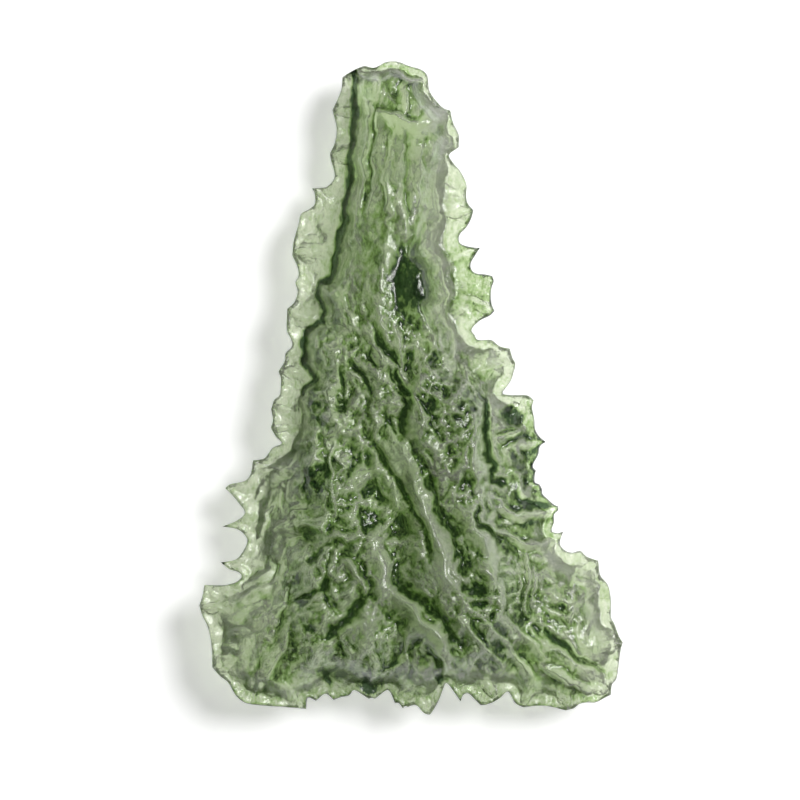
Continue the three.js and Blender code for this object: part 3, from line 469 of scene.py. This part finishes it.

# Spots of painted shade in the glass's colour, and of painted light where the strength is below zero:
# middle, half sizes, strength
SHADE_SPOTS = [
    (0.2, 6.4, 1.9, 3.0, 1.0), (-1.3, 8.2, 2.6, 4.5, 0.2), (-3.2, -19.0, 4.4, 2.2, 0.8),
    (-0.3, 14.0, 3.0, 5.0, -0.2), (2.8, -19.4, 3.4, 1.6, 0.6), (7.6, -5.2, 2.8, 5.2, 0.95),
    (4.4, -0.6, 2.8, 3.8, 0.35), (6.4, -16.6, 3.4, 2.6, 0.2), (-6.05, -5.2, 1.7, 2.4, 0.3),
    (6.3, -1.6, 1.7, 1.3, 0.3), (-6.2, -1.0, 0.6, 1.4, 0.4), (-1.8, 1.0, 4.0, 3.6, 0.15),
    (-5.6, -13.6, 2.6, 2.6, 0.2), (0.6, -1.6, 2.2, 2.4, 0.2), (4.2, 7.4, 3.0, 6.0, 0.65),
    (-0.3, 19.9, 2.2, 0.6, 0.5), (4.4, -13.2, 2.0, 1.8, 0.2), (-3.2, -8.2, 3.4, 2.6, 0.15),
    (9.4, -14.6, 3.2, 4.2, 0.4), (-9.2, -19.4, 3.8, 2.2, 0.5), (8.6, -19.6, 4.4, 1.8, 0.5),
]


def ease(value):
    """A smooth run from 0 to 1 while the value does the same."""
    held = np.clip(value, 0.0, 1.0)
    return held * held * (3.0 - 2.0 * held)


def scatter(i, j, seed):
    """A fixed number between 0 and 1 for each pair of whole numbers."""
    turn_i, turn_j, turn_seed = SCATTER_TURNS
    spread = np.sin(i * turn_i + j * turn_j + seed * turn_seed) * SCATTER_SPREAD
    return spread - np.floor(spread)


def curve_through(points, step):
    """Points about a step apart on the centripetal curve through some points, without its last one."""
    knots = np.array(points, dtype=float)
    knots = np.vstack([2 * knots[0] - knots[1], knots, 2 * knots[-1] - knots[-2]])
    dense = []
    for a, b, c, d in zip(knots, knots[1:], knots[2:], knots[3:]):
        t1 = math.sqrt(np.linalg.norm(b - a))
        t2 = t1 + math.sqrt(np.linalg.norm(c - b))
        t3 = t2 + math.sqrt(np.linalg.norm(d - c))
        for t in np.linspace(t1, t2, CURVE_PARTS, endpoint=False):
            ab = a + (b - a) * t / t1
            bc = b + (c - b) * (t - t1) / (t2 - t1)
            cd = c + (d - c) * (t - t2) / (t3 - t2)
            abc = ab + (bc - ab) * t / t2
            bcd = bc + (cd - bc) * (t - t1) / (t3 - t1)
            dense.append(abc + (bcd - abc) * (t - t1) / (t2 - t1))
    dense.append(knots[-2])
    dense = np.array(dense)
    travel = np.concatenate([[0.0], np.cumsum(np.linalg.norm(np.diff(dense, axis=0), axis=1))])
    count = max(1, round(travel[-1] / step))
    wanted = np.linspace(0.0, travel[-1], count, endpoint=False)
    return np.column_stack([np.interp(wanted, travel, dense[:, axis]) for axis in (0, 1)])


def trace_rim():
    """Rim points, their place between two teeth (0 and 1 at the tips) and the teeth's distance."""
    points, places, spans = [], [], []
    for index, scallop in enumerate(SCALLOPS):
        tip = SCALLOPS[(index + 1) % len(SCALLOPS)][0]
        stretch = curve_through(scallop + [tip], RIM_STEP)
        points.append(stretch)
        places.append(np.arange(len(stretch)) / len(stretch))
        spans.append(np.full(len(stretch), math.dist(scallop[0], tip)))
    return np.concatenate(points), np.concatenate(places), np.concatenate(spans)


def to_path(xy, path):
    """Distance of each point to a path, and whether it lies on its left."""
    corners = np.array(path, dtype=float)
    best = np.full(len(xy), np.inf)
    on_left = np.zeros(len(xy), dtype=bool)
    for a, b in zip(corners, corners[1:]):
        run = b - a
        away = xy - a
        along = np.clip(away @ run / (run @ run), 0.0, 1.0)
        distance = np.linalg.norm(away - along[:, None] * run, axis=1)
        nearer = distance < best
        best[nearer] = distance[nearer]
        on_left[nearer] = (run[0] * away[:, 1] - run[1] * away[:, 0])[nearer] > 0
    return best, on_left


def is_inside(xy, path):
    """Whether each point lies inside a closed path."""
    inside = np.zeros(len(xy), dtype=bool)
    corners = np.array(path, dtype=float)
    for (ax, ay), (bx, by) in zip(corners, np.roll(corners, 1, axis=0)):
        if ay != by:
            crosses = (ay > xy[:, 1]) != (by > xy[:, 1])
            inside ^= crosses & (xy[:, 0] < (bx - ax) * (xy[:, 1] - ay) / (by - ay) + ax)
    return inside


def ripple(xy, pitch, layer):
    """Smooth random waves between -1 and 1."""
    return np.array([noise.noise((x, y, layer)) for x, y in xy / pitch])


def ragged(xy):
    """The places moved a little, so that what is drawn on them gets an uneven edge."""
    moved = xy.copy()
    for pitch, reach, layer_x, layer_y in RAGGED:
        moved[:, 0] += reach * ripple(xy, pitch, layer_x)
        moved[:, 1] += reach * ripple(xy, pitch, layer_y)
    return moved


def plateau_height(xy):
    """Height of the raised parts. Each has a step along its outline and a crown that rises behind it."""
    height = np.zeros(len(xy))
    x, y = xy.T
    right = RIGHT_SOFTNESS * ease((x - RIGHT_FROM) / RIGHT_BLEND)
    softness = np.maximum(ease((SOFT_BELOW - y) / SOFT_BLEND), right)
    for step, crown, reach, edge, lower_edge, outline in PLATEAUS:
        inward = to_path(xy, outline + outline[:1])[0] * np.where(is_inside(xy, outline), 1.0, -1.0)
        edge_here = edge + (lower_edge - edge) * softness
        height += step * ease(inward / edge_here + 0.5)
        height += crown * (1.0 - np.exp(-np.maximum(inward, 0.0) / reach))
    return height


def wall_foot(xy):
    """Nearness to the foot of the wall on the body's left side, which lies just outside the outline, where a
    dark line of painted shade goes.
    """
    distance, inside = to_path(xy, BODY[:WALL_POINTS])
    inward = np.where(inside, distance, -distance)
    return ease(1.0 - np.abs(inward + WALL_FOOT) / WALL_REACH)


def add_crest(height, xy, order, rise, left, right, path):
    """A crest is sharp along its path and runs out at both ends. The order sorts the places by Y."""
    corners = np.array(path)
    low = corners.min(axis=0) - max(left, right)
    high = corners.max(axis=0) + max(left, right)
    start, end = np.searchsorted(xy[:, 1], (low[1], high[1]), sorter=order)
    near = order[start:end]
    near = near[(xy[near, 0] > low[0]) & (xy[near, 0] < high[0])]
    some = xy[near]
    distance, on_left = to_path(some, path)
    nearness = np.maximum(1.0 - distance / np.where(on_left, left, right), 0.0)
    from_end = np.minimum(*[np.linalg.norm(some - corners[tip], axis=1) for tip in (0, -1)])
    run_out = np.minimum(CREST_END_SHARE + from_end / CREST_RUN_OUT, 1.0)
    height[near] += rise * nearness ** CREST_POWER * run_out


def crest_height(xy):
    """Height of all drawn crests and grooves."""
    height = np.zeros(len(xy))
    order = np.argsort(xy[:, 1])
    for rise, left, right, path in CRESTS:
        add_crest(height, xy, order, rise, left, right, path)
    return height


def add_bowls(xy, bowls, power):
    """Depth of oval bowls. A power above 1 gives them a soft brim."""
    depth = np.zeros(len(xy))
    for x, y, radius_x, radius_y, deep in bowls:
        square = ((xy[:, 0] - x) / radius_x) ** 2 + ((xy[:, 1] - y) / radius_y) ** 2
        depth += deep * np.maximum(1.0 - square, 0.0) ** power
    return depth


def flow_fan(x, y):
    """Sideways run of the glass for each step down: none in the narrow end, fanned out below it."""
    return FAN_SPREAD * (x - FAN_MIDDLE) * ease((FAN_BELOW - y) / FAN_BLEND)


def disorder(y):
    """How far the flow strays from its course: little in the narrow end, much below it."""
    low, high = DISORDER
    return low + (high - low) * ease((NECK_BELOW - y) / NECK_BLEND)


def wrinkles(xy, sizes):
    """Short ledges that follow the flow of the glass."""
    height = np.zeros(len(xy))
    order = np.argsort(xy[:, 1])
    low, high = xy.min(axis=0), xy.max(axis=0)
    for pitch, length, rise, steep, gentle, seed in sizes:
        for i in range(math.floor(low[0] / pitch), math.ceil(high[0] / pitch)):
            for j in range(math.floor(low[1] / pitch), math.ceil(high[1] / pitch)):
                x = (i + scatter(i, j, seed)) * pitch
                y = (j + scatter(i, j, seed + 1)) * pitch
                turn = disorder(y) * (scatter(i, j, seed + 2) - 0.5)
                bend = WRINKLE_BEND * (scatter(i, j, seed + 3) - 0.5)
                size = WRINKLE_LEAST + scatter(i, j, seed + 4)
                stride = length * size / WRINKLE_PARTS
                path = [(x, y)]
                for _ in range(WRINKLE_PARTS):
                    angle = math.atan(flow_fan(x, y)) + turn
                    x += stride * math.sin(angle)
                    y -= stride * math.cos(angle)
                    turn += bend
                    path.append((x, y))
                sides = (steep, gentle) if scatter(i, j, seed + 5) < 0.5 else (gentle, steep)
                sign = 1 if scatter(i, j, seed + 6) < WRINKLE_RAISED else -1
                add_crest(height, xy, order, sign * rise * size, *sides, path)
    return height


def hollows(xy, pitch, stretch, seed):
    """Round-bottomed scoops that meet in sharp crests, drawn out along the flow of the glass."""
    x, y = xy.T
    row_height = pitch * HOLLOW_ROW
    row = np.round(y / row_height)
    least = np.full(len(xy), np.inf)
    for row_step in range(-HOLLOW_NEIGHBOURS, HOLLOW_NEIGHBOURS + 1):
        j = row + row_step
        shift = (np.abs(j) % 2) / 2
        column = np.round(x / pitch - shift)
        for column_step in range(-HOLLOW_NEIGHBOURS, HOLLOW_NEIGHBOURS + 1):
            i = column + column_step
            cx = (i + shift + HOLLOW_STRAY * (scatter(i, j, seed) - 0.5)) * pitch
            cy = (j + HOLLOW_STRAY * (scatter(i, j, seed + 1) - 0.5)) * row_height
            fan = flow_fan(cx, cy) + disorder(cy) * (scatter(i, j, seed + 2) - 0.5)
            length = np.hypot(fan, 1.0)
            along = ((x - cx) * fan - (y - cy)) / length
            across = ((x - cx) + (y - cy) * fan) / length
            square = (along / stretch) ** 2 + across ** 2
            least = np.minimum(least, 4 * square / pitch ** 2)
    return np.minimum(least, HOLLOW_CAP) - HOLLOW_LEVEL


rim, rim_places, rim_spans = trace_rim()
rim_tree = kdtree.KDTree(len(rim))
for number, point in enumerate(rim):
    rim_tree.insert((*point, 0.0), number)
rim_tree.balance()


def from_rim(xy):
    """Distance to the rim, and its place between two teeth, their distance and its travel there."""
    found = np.array([rim_tree.find((x, y, 0.0))[1] for x, y in xy])
    distance = np.full(len(xy), np.inf)
    for side in (-1, 1):
        start = rim[found]
        run = rim[(found + side) % len(rim)] - start
        along = np.clip(np.sum((xy - start) * run, axis=1) / np.sum(run * run, axis=1), 0.0, 1.0)
        distance = np.minimum(distance, np.linalg.norm(xy - start - along[:, None] * run, axis=1))
    return distance, rim_places[found], rim_spans[found], found * RIM_STEP


def wave(values, rise, turn, phase):
    """A sine wave with its height, its turn per millimetre and its start."""
    return rise * np.sin(turn * values + phase)


def rim_level(xy):
    """Height of the rim's line, which rises and falls slowly."""
    return RIM_HEIGHT + wave(xy[:, 1], *RIM_WAVE_ALONG) + wave(xy[:, 0], *RIM_WAVE_ACROSS)


def rim_nose(distance):
    """Half the thickness of the rounded rim."""
    return RIM_RADIUS * np.sqrt(1.0 - (1.0 - np.clip(distance / RIM_RADIUS, 0.0, 1.0)) ** 2)


def swell(reach):
    """A rise from 0 at the rim to 1 at the full reach, and a slow fall beyond it."""
    return reach * np.exp(1.0 - reach)


def tooth_rib(distance, place, span):
    """Rib that runs inward from each tooth, with a hollow on both sides."""
    size = TOOTH_RISE * np.minimum(span / TOOTH_SPAN, 1.0)
    ridge = 2.0 * np.abs(2.0 * place - 1.0) ** TOOTH_SHARPNESS - 1.0
    return size * ridge * swell(distance / TOOTH_REACH)


def flutes(distance, travel, phase):
    """Small scoops side by side along the rim."""
    angle = math.pi * travel / FLUTE_PITCH + wave(travel, FLUTE_STRAY, FLUTE_STRAY_TURN, phase) + phase
    return FLUTE_DEPTH * (0.5 - np.abs(np.sin(angle))) * swell(distance / FLUTE_REACH)


def etching(xy, distance, sizes):
    """Hollows of all sizes, which grow from nothing at the rim."""
    total = np.zeros(len(xy))
    for pitch, depth, stretch, seed in sizes:
        growth = np.minimum(distance / (HOLLOW_GROWTH * pitch), 1.0)
        total += depth * hollows(xy, pitch, stretch, seed) * growth
    return total


def grain(xy):
    """Small bumps all over the surface."""
    return sum(rise * ripple(xy, pitch, layer) for pitch, rise, layer in GRAIN)


def share(low, amount):
    """A factor that runs from 1 down to a low value as the amount grows to 1."""
    return 1.0 - (1.0 - low) * amount


def front_height(xy):
    """Height of the front, the relief's part in it, and the light and shade painted into the glass's colour
    there.
    """
    distance, place, span, travel = from_rim(xy)
    uneven = ragged(xy)
    raised = plateau_height(uneven)
    thin = 1.0 - ease((raised - THIN_BELOW) / (THICK_ABOVE - THIN_BELOW))
    drawn = crest_height(uneven)
    crest = ease(drawn / BROAD_CREST)
    # Spots of painted shade, and of painted light where the strength is below zero
    shade_spots = add_bowls(uneven, SHADE_SPOTS, 1.0)
    neck = 1.0 - ease((NECK_BELOW - xy[:, 1]) / NECK_BLEND)
    rough = share(THIN_SKIN, thin) * share(NECK_SKIN, neck)
    rough *= share(CREST_SKIN, crest) * share(SHADE_SPOT_SKIN, ease(shade_spots))
    flange = FLANGE_RISE * (1.0 - np.exp(-distance / FLANGE_FOOT))
    flange += tooth_rib(distance, place, span) + flutes(distance, travel, FRONT_FLUTE_PHASE)
    skin = etching(xy, distance, FRONT_HOLLOWS) + wrinkles(uneven, FRONT_WRINKLES) + grain(xy)
    relief = drawn - PIT_SHARE * add_bowls(uneven, PITS, PIT_POWER) + rough * skin
    relief = np.minimum(relief, RELIEF_LIMIT * np.tanh(relief / RELIEF_LIMIT)) * ease(distance / SKIN_START)
    # Painted light and shade: thin glass and broad crests painted paler, a painted shadow line at the foot
    # of the left wall and spots of painted shade taken off
    painted_tone = THIN_SHADE * thin + CREST_SHADE * crest - WALL_SHADE * wall_foot(uneven) - shade_spots
    # A dark line of painted shade along the rim
    painted_tone -= RIM_SHADE * ease(1.0 - distance / RIM_LINE)
    height = rim_level(xy) + rim_nose(distance) + flange + raised * ease(distance / BODY_START) + relief
    return height, relief, painted_tone


def back_height(xy):
    """Height of the back, and what the relief takes from it."""
    distance, place, span, travel = from_rim(xy)
    uneven = ragged(xy)
    drop = BACK_DROP * (1.0 - np.exp(-distance / BACK_FOOT)) + BELLY_DROP * ease(distance / BELLY_REACH)
    skin = etching(xy, distance, BACK_HOLLOWS) + wrinkles(uneven, BACK_WRINKLES)
    rough = share(BACK_RIM_SKIN, 1.0 - ease((distance - BACK_SKIN_FROM) / BACK_SKIN_BLEND))
    belly = rim_level(xy) - rim_nose(distance) - drop
    belly -= BACK_TOOTH_SHARE * tooth_rib(distance, place, span) + flutes(distance, travel, BACK_FLUTE_PHASE)
    relief = rough * skin * ease(distance / SKIN_START)
    free = np.maximum(belly - relief, REST_CLEARANCE)
    from_spot = np.linalg.norm((xy - np.array(REST_SPOT)) / np.array(REST_RADII), axis=1)
    return free * ease((from_spot - 1.0) / REST_BLEND), relief


def fill_rim(step):
    """Points and triangles that fill the rim, the rim's own points first."""
    low, high = rim.min(axis=0), rim.max(axis=0)
    row_height = step * MESH_ROW
    rows = np.arange(math.floor(low[1] / row_height), math.ceil(high[1] / row_height))
    columns = np.arange(math.floor(low[0] / step), math.ceil(high[0] / step))
    i, j = np.meshgrid(columns, rows)
    grid = np.column_stack([((i + (np.abs(j) % 2) / 2) * step).ravel(), (j * row_height).ravel()])
    grid = grid[is_inside(grid, rim)]
    grid = grid[from_rim(grid)[0] > MESH_GAP * step]
    points = np.vstack([rim, grid])
    border = [(k, (k + 1) % len(rim)) for k in range(len(rim))]
    vectors = [Vector(point) for point in points]
    found, _, faces, _, _, _ = delaunay_2d_cdt(vectors, border, [], 0, MERGE_WITHIN)
    if len(found) != len(points):
        raise RuntimeError("the rim crosses itself")
    faces = np.array(faces)
    faces = faces[is_inside(points[faces].mean(axis=1), rim)]
    return points, faces


def smoothed(values, faces, rounds):
    """Each point's value replaced by its neighbours' mean again and again."""
    starts = np.concatenate([faces[:, 0], faces[:, 1], faces[:, 2]])
    ends = np.concatenate([faces[:, 1], faces[:, 2], faces[:, 0]])
    count = np.bincount(starts, minlength=len(values))
    for _ in range(rounds):
        values = np.bincount(starts, values[ends], len(values)) / count
    return values


def relief_shade(relief, faces, level):
    """Painted shade that the relief gives: darker in hollows and on steep faces, painted paler on crests.
    Level is 1 on flat ground and 0 on a wall.
    """
    broad = relief - smoothed(relief, faces, BROAD_ROUNDS)
    fine = relief - smoothed(relief, faces, FINE_ROUNDS)
    low, high = HOLLOW_RANGE
    shade = share(HOLLOW_SHADE, 1.0 - ease((broad - low) / (high - low)))
    shade *= share(STEEP_SHADE, 1.0 - ease(level / STEEP_BELOW))
    return shade + np.clip(FINE_SHADE * fine, *FINE_RANGE)


def build_stone():
    """The stone as one closed mesh, with a front and a back that share the rim, in the CAD part's box."""
    front_xy, front_faces = fill_rim(FRONT_STEP)
    back_xy, back_faces = fill_rim(BACK_STEP)
    front_z, front_relief, painted_tone = front_height(front_xy)
    front_z = np.maximum(front_z, back_height(front_xy)[0] + LEAST_THICKNESS)
    back_z, back_relief = back_height(back_xy)
    count = len(rim)
    front_z[:count] = rim_level(rim)
    inner_back = np.column_stack([back_xy[count:], back_z[count:]])
    points = np.vstack([np.column_stack([front_xy, front_z]), inner_back])
    # The back uses the front's rim points, and its own points follow all of the front's
    moved = np.where(back_faces < count, back_faces, back_faces + len(front_xy) - count)
    faces = np.vstack([front_faces, moved[:, ::-1]])
    low, high = (np.array(corner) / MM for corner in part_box("moldavite"))
    own_low, own_high = points.min(axis=0), points.max(axis=0)
    points = low + (points - own_low) * (high - low) / (own_high - own_low)
    relief = np.concatenate([front_relief, back_relief[count:]])
    # The back gets no painted light or shade
    painted_tone = np.concatenate([painted_tone, np.zeros(len(back_xy) - count)])
    mesh = bpy.data.meshes.new("moldavite_glass")
    mesh.from_pydata((points * MM).tolist(), [], faces.tolist())
    mesh.shade_smooth()
    mesh.update()
    normals = np.empty(3 * len(points))
    mesh.vertex_normals.foreach_get("vector", normals)
    # Light and shade painted into the colour: the relief's painted shade plus the front's painted marks
    shade = relief_shade(relief, faces, np.abs(normals[2::3])) + painted_tone
    mesh.attributes.new("shade", "FLOAT", "POINT").data.foreach_set("value", shade)
    stone = bpy.data.objects.new("moldavite_stone", mesh)
    bpy.context.scene.collection.objects.link(stone)
    return stone


def glass_material():
    """Green glass with a frosted skin, its colour tinted by the light and shade painted on the mesh and by
    fine streaks.
    """
    material = bpy.data.materials.new("moldavite_glass")
    material.use_nodes = True
    nodes, links = material.node_tree.nodes, material.node_tree.links
    shader = nodes["Principled BSDF"]
    shader.inputs["Transmission Weight"].default_value = TRANSMISSION
    shader.inputs["IOR"].default_value = GLASS_IOR
    shader.inputs["Roughness"].default_value = ROUGHNESS
    volume = nodes.new("ShaderNodeVolumeAbsorption")
    volume.inputs["Color"].default_value = ABSORPTION_COLOUR
    volume.inputs["Density"].default_value = ABSORPTION_DENSITY
    links.new(volume.outputs["Volume"], nodes["Material Output"].inputs["Volume"])
    place = nodes.new("ShaderNodeTexCoord")
    mottle_noise = nodes.new("ShaderNodeTexNoise")
    mottle_noise.inputs["Scale"].default_value = MOTTLE_SCALE
    mottle_noise.inputs["Detail"].default_value = MOTTLE_DETAIL
    mottle_noise.inputs["Roughness"].default_value = MOTTLE_ROUGHNESS
    streaks = nodes.new("ShaderNodeMapping")
    streaks.inputs["Scale"].default_value = (1.0, MOTTLE_STREAK, 1.0)
    mottle = nodes.new("ShaderNodeMapRange")
    mottle.inputs["From Min"].default_value = MOTTLE_RANGE[0]
    mottle.inputs["From Max"].default_value = MOTTLE_RANGE[1]
    mottle.inputs["To Min"].default_value = -MOTTLE
    mottle.inputs["To Max"].default_value = MOTTLE
    links.new(place.outputs["Object"], streaks.inputs["Vector"])
    links.new(streaks.outputs["Vector"], mottle_noise.inputs["Vector"])
    links.new(mottle_noise.outputs["Fac"], mottle.inputs["Value"])
    shade = nodes.new("ShaderNodeAttribute")
    shade.attribute_name = "shade"
    mottled = nodes.new("ShaderNodeMath")
    mottled.operation = "ADD"
    links.new(shade.outputs["Fac"], mottled.inputs[0])
    links.new(mottle.outputs["Result"], mottled.inputs[1])
    # The painted light and shade on the mesh, plus the streaks, picks the base colour along this ramp
    tint = nodes.new("ShaderNodeValToRGB")
    tint.color_ramp.elements.new(GROOVE_PLACE)
    for element, colour in zip(tint.color_ramp.elements, (PAINTED_WALL_SHADE, PAINTED_GROOVE_SHADE, CREST_COLOUR)):
        element.color = colour
    links.new(mottled.outputs["Value"], tint.inputs["Fac"])
    links.new(tint.outputs["Color"], shader.inputs["Base Color"])
    grain_noise = nodes.new("ShaderNodeTexNoise")
    grain_noise.inputs["Scale"].default_value = BUMP_SCALE
    grain_noise.inputs["Detail"].default_value = BUMP_DETAIL
    bump = nodes.new("ShaderNodeBump")
    bump.inputs["Strength"].default_value = BUMP_STRENGTH
    bump.inputs["Distance"].default_value = BUMP_HEIGHT * MM
    links.new(place.outputs["Object"], grain_noise.inputs["Vector"])
    links.new(grain_noise.outputs["Fac"], bump.inputs["Height"])
    links.new(bump.outputs["Normal"], shader.inputs["Normal"])
    return material


def build_floor():
    """A pale floor that glows a little, so that light comes up through the glass."""
    mesh = bpy.data.meshes.new("floor")
    corners = [(x * FLOOR_REACH, y * FLOOR_REACH, 0) for x, y in ((-1, -1), (1, -1), (1, 1), (-1, 1))]
    mesh.from_pydata(corners, [], [(0, 1, 2, 3)])
    floor = bpy.data.objects.new("floor", mesh)
    floor.location.z = -FLOOR_DROP
    bpy.context.scene.collection.objects.link(floor)
    material = bpy.data.materials.new("floor")
    material.use_nodes = True
    shader = material.node_tree.nodes["Principled BSDF"]
    shader.inputs["Base Color"].default_value = FLOOR_COLOUR
    shader.inputs["Roughness"].default_value = FLOOR_ROUGHNESS
    shader.inputs["Specular IOR Level"].default_value = FLOOR_GLOSS
    shader.inputs["Emission Color"].default_value = (1.0, 1.0, 1.0, 1.0)
    shader.inputs["Emission Strength"].default_value = FLOOR_GLOW
    mesh.materials.append(material)


def add_area_light(name, place, size, watts):
    data = bpy.data.lights.new(name, "AREA")
    data.shape = "DISK"
    data.size = size
    data.energy = watts
    lamp = bpy.data.objects.new(name, data)
    lamp.location = place
    lamp.rotation_euler = (-Vector(place)).to_track_quat("-Z", "Y").to_euler()
    bpy.context.scene.collection.objects.link(lamp)


def build_light():
    """A dim dome over a dimmer horizon, and a softbox at the upper right."""
    world = bpy.data.worlds.new("studio")
    bpy.context.scene.world = world
    world.use_nodes = True
    nodes, links = world.node_tree.nodes, world.node_tree.links
    nodes["Background"].inputs["Color"].default_value = DOME_COLOUR
    direction = nodes.new("ShaderNodeTexCoord")
    split = nodes.new("ShaderNodeSeparateXYZ")
    dome = nodes.new("ShaderNodeMapRange")
    dome.interpolation_type = "SMOOTHSTEP"
    dome.inputs["From Min"].default_value = DOME_START
    dome.inputs["From Max"].default_value = DOME_FULL
    dome.inputs["To Min"].default_value = HORIZON_LIGHT
    dome.inputs["To Max"].default_value = DOME_LIGHT
    links.new(direction.outputs["Generated"], split.inputs["Vector"])
    links.new(split.outputs["Z"], dome.inputs["Value"])
    links.new(dome.outputs["Result"], nodes["Background"].inputs["Strength"])
    add_area_light("key", KEY_PLACE, KEY_SIZE, KEY_WATTS)


def build_camera():
    """A camera straight above the stone that shows the photograph's frame."""
    data = bpy.data.cameras.new("camera")
    data.angle = 2 * math.atan(FRAME_WIDTH / 2 / CAMERA_DISTANCE)
    camera = bpy.data.objects.new("camera", data)
    camera.location = (FRAME_CENTRE[0] * MM, FRAME_CENTRE[1] * MM,
                       (CAMERA_DISTANCE + FRAME_HEIGHT_ABOVE) * MM)
    bpy.context.scene.collection.objects.link(camera)
    bpy.context.scene.camera = camera


bpy.context.scene.view_settings.view_transform = "Standard"
build_camera()
build_floor()
build_light()
stone = build_stone()
stone.data.materials.append(glass_material())
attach(stone, "root")
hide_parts("moldavite")
